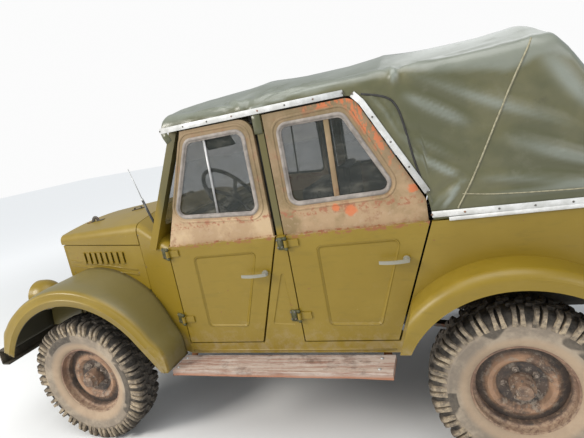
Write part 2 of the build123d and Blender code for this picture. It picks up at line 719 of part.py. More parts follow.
# Bonnet sides: slanted panels between cowl and grille, with hooded louvres
SIDE_LOW_Z = 857
SIDE_RUN = Vector(NOSE_X - COWL_FRONT_X, BAY_FRONT_HALF - BAY_REAR_HALF, 0)
SIDE_LENGTH = SIDE_RUN.length * (NOSE_X - PANEL - COWL_FRONT_X) / (NOSE_X - COWL_FRONT_X)
SIDE_START = 3
LOUVRES = 8
LOUVRE_PITCH = 50
LOUVRE_START = 170
LOUVRE_Z = 1052
LOUVRE_HEIGHT = 70
side_face = Plane(
    origin=(COWL_FRONT_X, BAY_REAR_HALF, 0), x_dir=SIDE_RUN, z_dir=(-SIDE_RUN.Y, SIDE_RUN.X, 0)
)
side_up = side_face.y_dir.Z
with BuildPart() as bonnet_sides:
    with BuildSketch(side_face):
        with BuildLine():
            Polyline(
                (SIDE_START, side_up * SIDE_LOW_Z),
                (SIDE_LENGTH, side_up * SIDE_LOW_Z),
                (SIDE_LENGTH, side_up * (SEAM_FRONT_Z - GAP)),
                (SIDE_START, side_up * (SEAM_REAR_Z - GAP)),
                close=True,
            )
        make_face()
    extrude(amount=-SHEET)
    for number in range(LOUVRES):
        along = LOUVRE_START + number * LOUVRE_PITCH
        with BuildSketch(side_face):
            with Locations((along, side_up * LOUVRE_Z)):
                Rectangle(26, LOUVRE_HEIGHT)
        extrude(amount=9)
        with BuildSketch(side_face.offset(-2 * SHEET)):
            with Locations((along - 5, side_up * LOUVRE_Z)):
                Rectangle(22, LOUVRE_HEIGHT - 8)
        extrude(amount=2 * SHEET + 5, mode=Mode.SUBTRACT)
    mirror(about=Plane.XZ)
keep(bonnet_sides.part, "bonnet_sides")

# Front wings: crowned skin with a skirt round the wheel, hollow below
WING_OUT = BODY_HALF + 170
WING_SHEET = 10
WING_ROUND = 45
WING_BASE_Z = 400
WING_NOSE_LOW_Z = 600
WING_HEEL_LOW_Z = 497
# Crown of the wing: three arcs, each by its middle and its end, then the nose
WING_HEEL = (fore(-648), WING_BASE_Z)
WING_CROWN = (
    ((fore(-594), 730), (fore(-432), 955)),
    ((fore(-240), 1016), (FRONT_AXLE_X, 996)),
    ((fore(290), 900), (fore(500), 735)),
)
WING_NOSE = (fore(556), WING_BASE_Z)
WHEEL_OPENING = ((fore(-484), 659), (fore(-85), 890), (fore(422), 583))


def wing_face(inset):
    """Side view of the front wing down to its base line, moved in by inset."""
    with BuildSketch(side_plane(0)) as face:
        with BuildLine():
            start = (WING_HEEL[0], 640)
            Line(WING_HEEL, start)
            for middle, end in WING_CROWN:
                ThreePointArc(start, middle, end)
                start = end
            Polyline(start, WING_NOSE, WING_HEEL)
        make_face()
        if inset:
            offset(amount=-inset, mode=Mode.REPLACE)
    return face.sketch


def wing_block(inset, y_in):
    """Solid wing from y_in outwards, with its outer edge rounded."""
    with BuildPart() as block:
        add(Plane.XZ.offset(-(WING_OUT - inset)).location * Plane.XZ.location.inverse() * wing_face(inset))
        extrude(amount=WING_OUT - inset - y_in, dir=(0, -1, 0))
        crown_edges = block.faces().sort_by(Axis.Y)[-1].edges().filter_by(
            lambda e: e.center().Z > WING_NOSE_LOW_Z - 40
        )
        fillet(crown_edges, WING_ROUND - inset)
    return block.part


with BuildPart() as front_wings:
    add(wing_block(0, BAY_FRONT_HALF))
    add(wing_block(WING_SHEET, BAY_FRONT_HALF + WING_SHEET), mode=Mode.SUBTRACT)
    with BuildSketch(side_plane(WING_OUT + 10)):
        with BuildLine():
            ThreePointArc(*WHEEL_OPENING)
            Polyline(
                WHEEL_OPENING[2],
                (WHEEL_OPENING[2][0], WING_BASE_Z - 50),
                (WING_HEEL[0] + 49, WING_BASE_Z - 50),
                (WING_HEEL[0] + 49, WING_HEEL_LOW_Z),
                WHEEL_OPENING[0],
            )
        make_face()
    extrude(amount=WING_OUT - BAY_FRONT_HALF + 20, mode=Mode.SUBTRACT)
    with BuildSketch(side_plane(WING_OUT + 10)):
        with BuildLine():
            Polyline(
                (WING_HEEL[0] - 50, WING_HEEL_LOW_Z),
                (fore(-200), WING_HEEL_LOW_Z),
                (fore(-200), WING_NOSE_LOW_Z),
                (WING_NOSE[0] + 50, WING_NOSE_LOW_Z),
                (WING_NOSE[0] + 50, WING_BASE_Z - 10),
                (WING_HEEL[0] - 50, WING_BASE_Z - 10),
                close=True,
            )
        make_face()
    extrude(amount=2 * WING_OUT, mode=Mode.SUBTRACT)
    with BuildSketch(Plane.XY.offset(WING_BASE_Z)):
        with BuildLine():
            Polyline(
                (COWL_REAR_X - 50, BODY_HALF),
                (COWL_REAR_X, BODY_HALF),
                (COWL_FRONT_X, BAY_REAR_HALF),
                (NOSE_X, BAY_FRONT_HALF),
                (NOSE_X, 0),
                (COWL_REAR_X - 50, 0),
                close=True,
            )
        make_face()
    extrude(amount=1000, mode=Mode.SUBTRACT)
    mirror(about=Plane.XZ)
front_wing_pair = front_wings.part

# Rear wings: bolted over the wheel arches, with a rounded crown
REAR_WING_R = ARCH_R + 65
WING_DOOR_GAP = 12


def rear_wing_block(inset):
    """Solid disc of the rear wing with a rounded outer edge, moved in by inset."""
    with BuildPart() as block:
        with BuildSketch(side_plane(BODY_HALF)):
            with Locations((at(0), TYRE_R)):
                Circle(REAR_WING_R - inset)
        extrude(amount=-(WING_OUT - BODY_HALF - inset))
        fillet(block.faces().sort_by(Axis.Y)[-1].edges(), WING_ROUND - inset)
    return block.part


with BuildPart() as rear_wings:
    add(rear_wing_block(0))
    add(rear_wing_block(WING_SHEET), mode=Mode.SUBTRACT)
    with BuildSketch(side_plane(WING_OUT + 10)):
        with Locations((at(-10), TYRE_R)):
            Circle(ARCH_R - 15)
    extrude(amount=WING_OUT, mode=Mode.SUBTRACT)
    with Locations((at(0), 0, TUB_BOTTOM_Z - 500)):
        Box(4 * ARCH_R, 4 * ARCH_R, 1000, mode=Mode.SUBTRACT)
    with BuildSketch(side_plane(WING_OUT + 10)):
        with BuildLine():
            Polyline(
                (REAR_DOOR[2] - WING_DOOR_GAP, DOOR_BOTTOM_Z),
                (REAR_DOOR[1] - WING_DOOR_GAP, BELT_Z),
                (REAR_DOOR[0], BELT_Z),
                (REAR_DOOR[0], DOOR_BOTTOM_Z),
                close=True,
            )
        make_face()
    extrude(amount=WING_OUT, mode=Mode.SUBTRACT)
    mirror(about=Plane.XZ)
keep(rear_wings.part, "rear_wings")

# Headlamps: buckets let into the wings beside the grille, with domed lenses
LAMP_X = fore(422)
LAMP_Y = BODY_HALF - 130
LAMP_Z = 856
LAMP_R = 96
LENS_R = 86
LENS_BULGE = 24
lamp_plane = Plane(origin=(LAMP_X, LAMP_Y, LAMP_Z), x_dir=(1, 0, 0), z_dir=(0, -1, 0))
lamp_axis = Axis((LAMP_X, LAMP_Y, LAMP_Z), (1, 0, 0))
with BuildPart() as headlamps:
    with BuildSketch(lamp_plane):
        with BuildLine():
            Line((-150, 0), (-150, 30))
            ThreePointArc((-150, 30), (-114, 70), (-40, LAMP_R))
            Polyline((-40, LAMP_R), (0, LAMP_R), (0, LENS_R), (-12, LENS_R), (-12, 0), (-150, 0))
        make_face()
    revolve(axis=lamp_axis)
    mirror(about=Plane.XZ)
keep(headlamps.part, "headlamps")

# The wings are cut back to the buckets and the bonnet sides that they meet
with BuildPart() as wings_cut:
    add(front_wing_pair)
    with Locations((LAMP_X - 20, LAMP_Y, LAMP_Z), (LAMP_X - 20, -LAMP_Y, LAMP_Z)):
        Cylinder(LAMP_R, 260, rotation=(0, 90, 0), mode=Mode.SUBTRACT)
    add(bonnet_sides.part, mode=Mode.SUBTRACT)
keep(wings_cut.part, "front_wings")

# Small lamps: markers on the front wings, and tail lamps on the rear panel
MARKER = (fore(495), BODY_HALF - 5, 776)
MARKER_R = 26
MARKER_LENGTH = 56
TAIL_LAMP_R = 40
TAIL_LAMP_Y = BODY_HALF - 95
TAIL_LAMP_Z = 860
with BuildPart() as small_lamps:
    for side in (1, -1):
        with Locations((MARKER[0], side * MARKER[1], MARKER[2])):
            Cylinder(MARKER_R, MARKER_LENGTH, rotation=(0, 90, 0))
        with Locations((MARKER[0] - 14, side * MARKER[1], MARKER[2] - 25)):
            Box(28, 28, 50)
        with Locations(((REAR_END_X + REAR_WALL_X) / 2, side * TAIL_LAMP_Y, TAIL_LAMP_Z)):
            Cylinder(TAIL_LAMP_R, REAR_WALL_X - REAR_END_X, rotation=(0, 90, 0))
    fillet(small_lamps.faces().sort_by(Axis.X)[-2:].edges(), 12)
    add(wing_block(0, BAY_FRONT_HALF), mode=Mode.SUBTRACT)
    add(mirror(wing_block(0, BAY_FRONT_HALF), about=Plane.XZ), mode=Mode.SUBTRACT)
keep(small_lamps.part, "small_lamps")

with BuildPart() as headlamp_lenses:
    with BuildSketch(lamp_plane):
        with BuildLine():
            Polyline((-12, 0), (-12, LENS_R), (0, LENS_R))
            ThreePointArc((0, LENS_R), (LENS_BULGE * 0.72, LENS_R * 0.55), (LENS_BULGE, 8))
            Polyline((LENS_BULGE, 8), (LENS_BULGE, 0), (-12, 0))
        make_face()
    revolve(axis=lamp_axis)
    mirror(about=Plane.XZ)
keep(headlamp_lenses.part, "headlamp_lenses")

# Windscreen: leaning frame on the cowl, with one flat pane
SCREEN_RUN = Vector(SCREEN_TOP[0] - SCREEN_FOOT[0], 0, SCREEN_TOP[1] - SCREEN_FOOT[1])
screen_plane = Plane(
    origin=(SCREEN_FOOT[0], 0, SCREEN_FOOT[1]), x_dir=(0, 1, 0), z_dir=(SCREEN_RUN.Z, 0, -SCREEN_RUN.X)
)
SCREEN_SINK = 70
PANE = 6
# Corners of the pane: height up the screen and half width
PANE_LOW = (SCREEN_BAR + 15, SCREEN_FOOT_HALF - SCREEN_BAR - 8)
PANE_TOP = (SCREEN_RUN.length - SCREEN_BAR, SCREEN_TOP_HALF - SCREEN_BAR)


def trapezoid(low, top):
    """Outline of a shape with level edges, each given as height and half width."""
    return [(-low[1], low[0]), (low[1], low[0]), (top[1], top[0]), (-top[1], top[0])]


with BuildPart() as windscreen_glass:
    with BuildSketch(screen_plane) as pane_sketch:
        with BuildLine():
            Polyline(*trapezoid(PANE_LOW, PANE_TOP), close=True)
        make_face()
        fillet(pane_sketch.vertices(), 30)
    extrude(amount=PANE / 2, both=True)
keep(windscreen_glass.part, "windscreen_glass")

with BuildPart() as windscreen_frame:
    with BuildSketch(screen_plane) as surround_sketch:
        with BuildLine():
            Polyline(
                *trapezoid((-SCREEN_SINK, SCREEN_FOOT_HALF), (SCREEN_RUN.length, SCREEN_TOP_HALF)), close=True
            )
        make_face()
    extrude(amount=SCREEN_DEPTH / 2, both=True)
    with BuildSketch(screen_plane) as opening_sketch:
        with BuildLine():
            Polyline(*trapezoid(PANE_LOW, PANE_TOP), close=True)
        make_face()
        fillet(opening_sketch.vertices(), 30)
    extrude(amount=SCREEN_DEPTH, both=True, mode=Mode.SUBTRACT)
    add(cowl_form, mode=Mode.SUBTRACT)
    with Locations((COWL_REAR_X - 200, 0, 1000)):
        Box(400, 3 * BODY_HALF, 2 * (COWL_SECTIONS[0][3] - 1000), mode=Mode.SUBTRACT)
keep(windscreen_frame.part, "windscreen_frame")

# Running boards: plank with edge, on two brackets from the frame
BOARD = (at(514), fore(-648))
BOARD_TOP_Z = 497
BOARD_THICK = 32
BOARD_IN = BODY_HALF - 15
BOARD_OUT = BODY_HALF + 145
BOARD_EDGE = 30
BRACKETS = (at(560), fore(-660))
with BuildPart() as running_boards:
    with Locations(((BOARD[0] + BOARD[1]) / 2, (BOARD_IN + BOARD_OUT) / 2, BOARD_TOP_Z - BOARD_THICK / 2)):
        Box(BOARD[1] - BOARD[0], BOARD_OUT - BOARD_IN, BOARD_THICK)
    fillet(running_boards.edges().filter_by(Axis.X), 5)
    bracket_in = RAIL_Y + RAIL_WIDTH / 2
    bracket_out = BOARD_OUT - BOARD_EDGE
    for x in BRACKETS:
        with Locations((x, (bracket_in + bracket_out) / 2, BOARD_TOP_Z - BOARD_THICK - 5)):
            Box(40, bracket_out - bracket_in, 10)
    mirror(about=Plane.XZ)
keep(running_boards.part, "running_boards")

# Seats: cushions and backs on low frames
# Boxes: rear edge, front edge, left edge, right edge, underside, top
SEAT_OUT = BODY_HALF - 105
BENCH_CLEAR = 25
BENCH_HALF = HOUSE_INNER_Y - BENCH_CLEAR
FRONT_CUSHION = (fore(-1420), fore(-970), SEAT_OUT, 140, 850, 950)
FRONT_BACK = (fore(-1510), fore(-1430), SEAT_OUT, 140, 960, 1330)
REAR_CUSHION = (at(110), at(560), BENCH_HALF, -BENCH_HALF, 850, 950)
REAR_BACK = (at(30), at(105), BENCH_HALF, -BENCH_HALF, 930, 1330)
BACK_PLATE = 16
BACK_DOWN = 40


def cushion(rear, front, left, right, low, top):
    """One soft block with rounded edges."""
    with Locations(((rear + front) / 2, (left + right) / 2, (low + top) / 2)):
        Box(front - rear, left - right, top - low)


with BuildPart() as front_cushions:
    cushion(*FRONT_CUSHION)
    cushion(*FRONT_BACK)
    fillet(front_cushions.edges(), 22)
    mirror(about=Plane.XZ)
keep(front_cushions.part, "front_seats")

with BuildPart() as rear_cushions:
    cushion(*REAR_CUSHION)
    cushion(*REAR_BACK)
    fillet(rear_cushions.edges(), 22)
keep(rear_cushions.part, "rear_seat")

# Seat frames: a pan on four legs under each front seat, and the box under the bench
SEAT_TUBE_R = 12
PAN = 12
PAN_IN = 20
TUBE_IN = 60
seat_middle_y = (FRONT_CUSHION[2] + FRONT_CUSHION[3]) / 2
seat_width = FRONT_CUSHION[2] - FRONT_CUSHION[3] - TUBE_IN
pan_rear = FRONT_BACK[0] - BACK_PLATE
with BuildPart() as seat_frames:
    for y in (FRONT_CUSHION[2] - TUBE_IN, FRONT_CUSHION[3] + TUBE_IN):
        for x in (FRONT_CUSHION[0] + TUBE_IN, FRONT_CUSHION[1] - TUBE_IN):
            with Locations((x, y, (FLOOR_Z + FRONT_CUSHION[4]) / 2)):
                Cylinder(SEAT_TUBE_R, FRONT_CUSHION[4] - FLOOR_Z)
    with Locations(((pan_rear + FRONT_CUSHION[1] - PAN_IN) / 2, seat_middle_y, FRONT_CUSHION[4] - PAN / 2)):
        Box(FRONT_CUSHION[1] - PAN_IN - pan_rear, seat_width, PAN)
    mirror(about=Plane.XZ)
    with Locations(((DECK_FRONT_X + REAR_BACK[0]) / 2, 0, (DECK_Z + REAR_CUSHION[4]) / 2)):
        Box(DECK_FRONT_X - REAR_BACK[0], 2 * REAR_CUSHION[2], REAR_CUSHION[4] - DECK_Z)
keep(seat_frames.part, "seat_frames")

# Back plates behind the front seats and the bench
with BuildPart() as seat_backs:
    plate_top_z = FRONT_BACK[5] - BACK_DOWN
    with Locations((pan_rear + BACK_PLATE / 2, seat_middle_y, (FRONT_CUSHION[4] + plate_top_z) / 2)):
        Box(BACK_PLATE, seat_width, plate_top_z - FRONT_CUSHION[4])
    mirror(about=Plane.XZ)
    with Locations((REAR_BACK[0] - BACK_PLATE / 2, 0, (DECK_Z + REAR_BACK[5] - BACK_DOWN) / 2)):
        Box(BACK_PLATE, 2 * BENCH_HALF, REAR_BACK[5] - BACK_DOWN - DECK_Z)
keep(seat_backs.part, "seat_backs")

# Steering column: foot in the engine bay, head under the wheel
SHAFT_FIT_R = 11
column_run = Vector(*STEERING_HUB) - Vector(*COLUMN_FOOT)
column_plane = Plane(origin=COLUMN_FOOT, z_dir=column_run)

# Dashboard across the cabin, let into the cowl
DASH_DEPTH = 40
DASH_HEIGHT = 125
DASH_Z = COWL_SECTIONS[0][2] - SHEET - DASH_HEIGHT / 2 - 30
with BuildPart() as dashboard:
    with Locations((COWL_REAR_X + DASH_DEPTH / 2, 0, DASH_Z)):
        Box(DASH_DEPTH, 2 * BODY_HALF, DASH_HEIGHT + 60)
    add(cowl_hollow.part, mode=Mode.INTERSECT)
    with BuildSketch(column_plane):
        Circle(COLUMN_HOLE_R)
    extrude(amount=column_run.length, mode=Mode.SUBTRACT)
keep(dashboard.part, "dashboard")

# Steering column, pedals and gear levers
COLUMN_LENGTH = column_run.length - 55
PEDAL_YS = (470, 300, 235)
PEDAL_WIDTH = 56
PEDAL_PAD = ((fore(-760), 742), (fore(-725), 698))
PEDAL_ARM = ((fore(-744), 716), (fore(-610), 640))
LEVER_R = 8
KNOB_R = 20
LEVERS = (
    ((fore(-970), 0, 760), (fore(-1050), 50, 1010)),
    ((fore(-1100), -50, 720), (fore(-1140), -60, 900)),
    ((fore(-1100), -110, 720), (fore(-1140), -120, 900)),
)
with BuildPart() as controls:
    with BuildSketch(column_plane):
        Circle(COLUMN_R)
    extrude(amount=COLUMN_LENGTH)
    with BuildSketch(column_plane.offset(COLUMN_LENGTH - 60)):
        Circle(SHAFT_FIT_R + PIN_FIT)
    extrude(amount=100, mode=Mode.SUBTRACT)
    for pedal_y in PEDAL_YS:
        with BuildSketch(side_plane(pedal_y + PEDAL_WIDTH / 2)):
            with BuildLine():
                Polyline(*band(PEDAL_PAD, 10), close=True)
            make_face()
        extrude(amount=PEDAL_WIDTH)
        with BuildSketch(side_plane(pedal_y + 8)):
            with BuildLine():
                Polyline(*band(PEDAL_ARM, 16), close=True)
            make_face()
        extrude(amount=16)
    for foot, top in LEVERS:
        lean = Vector(*top) - Vector(*foot)
        with BuildSketch(Plane(origin=foot, z_dir=lean)):
            Circle(LEVER_R)
        extrude(amount=lean.length)
        with Locations(top):
            Sphere(KNOB_R)
    add(floor_pan.part, mode=Mode.SUBTRACT)
keep(controls.part, "controls")

# Steering wheel: rim, three spokes, hub and the top of its shaft
RIM_R = 11
wheel_plane = Plane(origin=STEERING_HUB, z_dir=column_run, x_dir=(0, 1, 0))
with BuildPart() as steering_wheel:
    with BuildSketch(Plane(origin=STEERING_HUB, x_dir=wheel_plane.x_dir, z_dir=-wheel_plane.y_dir)):
        with Locations((STEERING_R, 0)):
            Circle(RIM_R)
    revolve(axis=Axis(STEERING_HUB, column_run))
    with BuildSketch(wheel_plane.offset(-30)):
        Circle(38)
    extrude(amount=40)
    with BuildSketch(wheel_plane.offset(-30)):
        Circle(SHAFT_FIT_R)
    extrude(amount=-80)
    for angle in (90, 210, 330):
        with BuildSketch(wheel_plane):
            with Locations(Rot(0, 0, angle) * Pos(STEERING_R / 2 + 8, 0)):
                Rectangle(STEERING_R - 20, 22)
        extrude(amount=4, both=True)
keep(steering_wheel.part, "steering_wheel")

# Doors: lower panel, upper frame round its window, hinge barrels and a lever handle
HINGE_R = 9
HINGE_BARREL = 34
HINGE_LEAF = 60
HINGE_ZS = (1085, 717)
LEAF_THICK = 7
GLASS = 5
# Lever of a handle seen from above, from its boss forward: along the car, and out from the boss
HANDLE_OUT = 38
HANDLE_HEIGHT = 14
HANDLE_OUTSIDE = ((-14, 2), (50, 15), (116, 3))
HANDLE_INSIDE = ((-14, -6), (50, 5), (116, -2))

# Each door: edges as above, outline of the upper frame, window, pressing, handle
UPPER_FOOT_Z = BELT_Z - 20
FRONT_UPPER = (
    (FRONT_DOOR[0], UPPER_FOOT_Z),
    (FRONT_DOOR[0], BELT_Z + 2),
    (fore(-915), DOOR_TOP_Z),
    (fore(-1290), DOOR_TOP_Z),
    (fore(-1290), UPPER_FOOT_Z),
)
FRONT_WINDOW = ((fore(-781), 1262), (fore(-931), 1638), (fore(-1242), 1638), (fore(-1242), 1235))
FRONT_PRESSING = ((fore(-838), 1058), (fore(-1196), 1058), (fore(-1070), 662), (fore(-838), 668))
FRONT_HANDLE = (fore(-1224), 948)
REAR_UPPER = (
    (REAR_DOOR[0], UPPER_FOOT_Z),
    (REAR_DOOR[0], BELT_Z + 2),
    (REAR_DOOR[0] + 13, BELT_Z + 2),
    (REAR_DOOR[0] + 13, DOOR_TOP_Z),
    (at(539), DOOR_TOP_Z),
    (at(297), 1213),
    (at(297), UPPER_FOOT_Z),
)
REAR_WINDOW = (
    (REAR_DOOR[0] - 45, 1256),
    (REAR_DOOR[0] - 45, 1628),
    (at(590), 1628),
    (at(405), 1262),
)
REAR_PRESSING = ((REAR_DOOR[0] - 136, 1060), (at(415), 1060), (at(551), 652), (REAR_DOOR[0] - 136, 658))
REAR_HANDLE = (at(405), 968)


def build_door(edges, upper, window, pressing, handle):
    """Left door: panel and upper frame in one, with hinge barrels and handle."""
    front, belt_rear, foot_rear = edges
    with BuildPart() as door:
        with BuildSketch(side_plane(BODY_HALF)):
            with BuildLine():
                Polyline(
                    (front, DOOR_BOTTOM_Z),
                    (front, BELT_Z),
                    (belt_rear, BELT_Z),
                    (foot_rear, DOOR_BOTTOM_Z),
                    close=True,
                )
            make_face()
        extrude(amount=DOOR_THICK)
        with BuildSketch(side_plane(BODY_HALF)) as press_sketch:
            with BuildLine():
                Polyline(*pressing, close=True)
            make_face()
            fillet(press_sketch.vertices(), 25)
        extrude(amount=PRESS_DEPTH, taper=45, mode=Mode.SUBTRACT)
        with BuildSketch(side_plane(FRAME_OUT)) as upper_sketch:
            with BuildLine():
                Polyline(*upper, close=True)
            make_face()
            fillet(upper_sketch.vertices().group_by(Axis.Y)[-1].sort_by(Axis.X)[0], DOOR_CORNER_R)
        extrude(amount=FRAME_THICK)
        with BuildSketch(side_plane(FRAME_OUT)) as window_sketch:
            with BuildLine():
                Polyline(*window, close=True)
            make_face()
            fillet(window_sketch.vertices(), WINDOW_CORNER_R)
        extrude(amount=2 * FRAME_THICK, both=True, mode=Mode.SUBTRACT)
        for z in HINGE_ZS:
            with Locations((front + GAP / 2, DOOR_SWING_Y, z)):
                Cylinder(HINGE_R, HINGE_BARREL)
            with Locations((front + GAP / 2 - HINGE_LEAF / 2, BODY_HALF + LEAF_THICK / 2, z)):
                Box(HINGE_LEAF, LEAF_THICK, HINGE_BARREL)
        handle_x, handle_z = handle
        boss_y = BODY_HALF + HANDLE_OUT
        with Locations((handle_x, BODY_HALF + HANDLE_OUT / 4, handle_z)):
            Cylinder(15, HANDLE_OUT / 2, rotation=(90, 0, 0))
        with Locations((handle_x, BODY_HALF + HANDLE_OUT / 2, handle_z)):
            Cylinder(9, HANDLE_OUT, rotation=(90, 0, 0))
        with BuildSketch(Plane.XY.offset(handle_z - HANDLE_HEIGHT / 2)):
            with BuildLine():
                outside = ThreePointArc(*[(handle_x + x, boss_y + y) for x, y in HANDLE_OUTSIDE])
                inside = ThreePointArc(*[(handle_x + x, boss_y + y) for x, y in HANDLE_INSIDE])
                Line(outside @ 0, inside @ 0)
                Line(outside @ 1, inside @ 1)
            make_face()
        extrude(amount=HANDLE_HEIGHT)
    return door.part


def build_pane(window):
    """Left door's glass, filling its window."""
    with BuildPart() as pane:
        with BuildSketch(side_plane(FRAME_OUT - (FRAME_THICK - GLASS) / 2)) as pane_sketch:
            with BuildLine():
                Polyline(*window, close=True)
            make_face()
            fillet(pane_sketch.vertices(), WINDOW_CORNER_R)
        extrude(amount=GLASS)
    return pane.part


front_left = build_door(FRONT_DOOR, FRONT_UPPER, FRONT_WINDOW, FRONT_PRESSING, FRONT_HANDLE)
rear_left = build_door(REAR_DOOR, REAR_UPPER, REAR_WINDOW, REAR_PRESSING, REAR_HANDLE)
front_pane = build_pane(FRONT_WINDOW)
rear_pane = build_pane(REAR_WINDOW)
keep(front_left, "door_front_left")
keep(rear_left, "door_rear_left")
keep(front_pane, "glass_front_left")
keep(rear_pane, "glass_rear_left")
keep(mirror(front_left, about=Plane.XZ), "door_front_right")
keep(mirror(rear_left, about=Plane.XZ), "door_rear_right")
keep(mirror(front_pane, about=Plane.XZ), "glass_front_right")
keep(mirror(rear_pane, about=Plane.XZ), "glass_rear_right")

# Roof frame: header, rails over the doors, slanted rear rails and three bows
ROOF_RAIL = 18
RAIL_BEND = (at(529), ROOF_RAIL_Z)
ROOF_RAIL_OUT = BODY_HALF - 33
BOW_HALF = ROOF_RAIL_OUT - ROOF_RAIL
BOW = 22
BOW_SHOULDER_Z = 1743
BOW_CORNER = 110
# Bows: station, height of the crown, height of the feet
BOWS = (
    (fore(-1290), 1866, ROOF_RAIL_Z - 28),
    (at(420), 1868, 1474),
    (at(-150), 1850, 890),
)


def hoop(x, crown, foot):
    """One bow, from foot to foot."""
    outline = arch_face(x, BOW_HALF, foot, BOW_SHOULDER_Z, crown, BOW_CORNER)
    inside = arch_face(x, BOW_HALF - BOW, foot - 50, BOW_SHOULDER_Z - BOW, crown - BOW, BOW_CORNER - BOW)
    return extrude(outline - inside, amount=BOW)


with BuildPart() as roof_frame:
    with BuildSketch(side_plane(ROOF_RAIL_OUT)) as rail_sketch:
        with BuildLine():
            Polyline(
                (SCREEN_TOP[0] - 26, ROOF_RAIL_Z),
                RAIL_BEND,
                (at(283), 1213),
                (at(278), BELT_Z - 50),
                (at(250), BELT_Z - 50),
                (at(256), 1220),
                (at(515), ROOF_RAIL_Z + ROOF_RAIL),
                (SCREEN_TOP[0] - 26, ROOF_RAIL_Z + ROOF_RAIL),
                close=True,
            )
        make_face()
        fillet(rail_sketch.vertices().sort_by_distance(RAIL_BEND)[0], DOOR_CORNER_R - GAP)
    extrude(amount=ROOF_RAIL)
    with Locations((at(264), (ROOF_RAIL_OUT + INNER_HALF) / 2, BELT_Z - 25)):
        Box(28, INNER_HALF - ROOF_RAIL_OUT, 50)
    mirror(about=Plane.XZ)
    with Locations((SCREEN_TOP[0] - 36, 0, ROOF_RAIL_Z + ROOF_RAIL / 2)):
        Box(20, 2 * ROOF_RAIL_OUT, ROOF_RAIL)
    for x, crown, foot in BOWS:
        add(hoop(x, crown, foot))
keep(roof_frame.part, "roof_frame")

# Canvas top: shell with open door sides, its back sloping down to the tailgate
TOP_FRONT_X = fore(-810)
HEM_Z = BELT_Z + 6
TOP_BASE_Z = HEM_Z - 60
OPENING_BEND = (at(536), ROOF_RAIL_Z + 4)
# Side view of the top's middle, from the windscreen over the bows to the rear panel
TOP_LINE = (
    (TOP_FRONT_X, 1712),
    (fore(-820), 1775),
    (fore(-860), 1815),
    (fore(-960), 1850),
    (fore(-1130), 1876),
    (fore(-1290), 1890),
    (at(420), 1890),
    (at(-160), 1862),
    (at(-255), 1730),
    (at(-335), 1590),
    (REAR_WALL_X - 6, 1150),
)
TOP_SIDE = ((BODY_HALF + 4, TOP_BASE_Z), (BODY_HALF - 15, 1712), (SHOULDER_HALF + 10, 1778))


def top_block(inset):
    """Solid under the canvas, moved in by inset: its side view met with its cross section."""
    with BuildPart() as block:
        with BuildSketch(side_plane(BODY_HALF + 20)):
            with BuildLine():
                Polyline(
                    (TOP_FRONT_X, TOP_BASE_Z), *TOP_LINE, (REAR_WALL_X - 6, TOP_BASE_Z), close=True
                )
            make_face()
            if inset:
                offset(amount=-inset, kind=Kind.INTERSECTION, mode=Mode.REPLACE)
        extrude(amount=2 * (BODY_HALF + 20))
        with BuildSketch(station(REAR_WALL_X - 20)) as section:
            with BuildLine():
                Polyline(*[(-y, z) for y, z in reversed(TOP_SIDE)], *TOP_SIDE)
                ThreePointArc(TOP_SIDE[2], (0, ROOF_CROWN_Z), (-TOP_SIDE[2][0], TOP_SIDE[2][1]))
            make_face()
            fillet(section.vertices().filter_by(lambda v: v.Y > TOP_SIDE[1][1] - 5), 45)
            if inset:
                offset(amount=-inset, kind=Kind.INTERSECTION, mode=Mode.REPLACE)
        extrude(amount=TOP_FRONT_X - REAR_WALL_X + 60, mode=Mode.INTERSECT)
    return block.part


with BuildPart() as canvas_top:
    add(top_block(0))
    add(top_block(CANVAS), mode=Mode.SUBTRACT)
    with BuildSketch(side_plane(BODY_HALF + 50)) as opening_side:
        with BuildLine():
            Polyline(
                (fore(-650), TOP_BASE_Z - 20),
                (fore(-650), ROOF_RAIL_Z + 4),
                OPENING_BEND,
                (at(285), 1222),
                (at(285), HEM_Z),
                (REAR_WALL_X - 50, HEM_Z),
                (REAR_WALL_X - 50, TOP_BASE_Z - 20),
                close=True,
            )
        make_face()
        fillet(opening_side.vertices().sort_by_distance(OPENING_BEND)[0], DOOR_CORNER_R)
    extrude(amount=2 * (BODY_HALF + 50), mode=Mode.SUBTRACT)
keep(canvas_top.part, "canvas_top")

# Wheels: rim with its well, dished disc, hub with cap and brake drum; tyres round them
WHEEL_Y = TRACK / 2
RIM_IN = WHEEL_Y - RIM_WIDTH / 2
RIM_OUT = WHEEL_Y + RIM_WIDTH / 2
RIM_GAUGE = 6
WELL_R = 190
DISC_GAUGE = 7
HUB_FACE_Y = 712
HUB_END_Y = 798
# Outer surface of the rim, from the inner flange to the outer one
RIM_LINE = (
    (RIM_IN, RIM_FLANGE_R),
    (RIM_IN + RIM_GAUGE, RIM_FLANGE_R),
    (RIM_IN + RIM_GAUGE, BEAD_R),
    (WHEEL_Y - 28, BEAD_R),
    (WHEEL_Y - 22, WELL_R),
    (WHEEL_Y + 22, WELL_R),
    (WHEEL_Y + 28, BEAD_R),
    (RIM_OUT - RIM_GAUGE, BEAD_R),
    (RIM_OUT - RIM_GAUGE, RIM_FLANGE_R),
    (RIM_OUT, RIM_FLANGE_R),
)
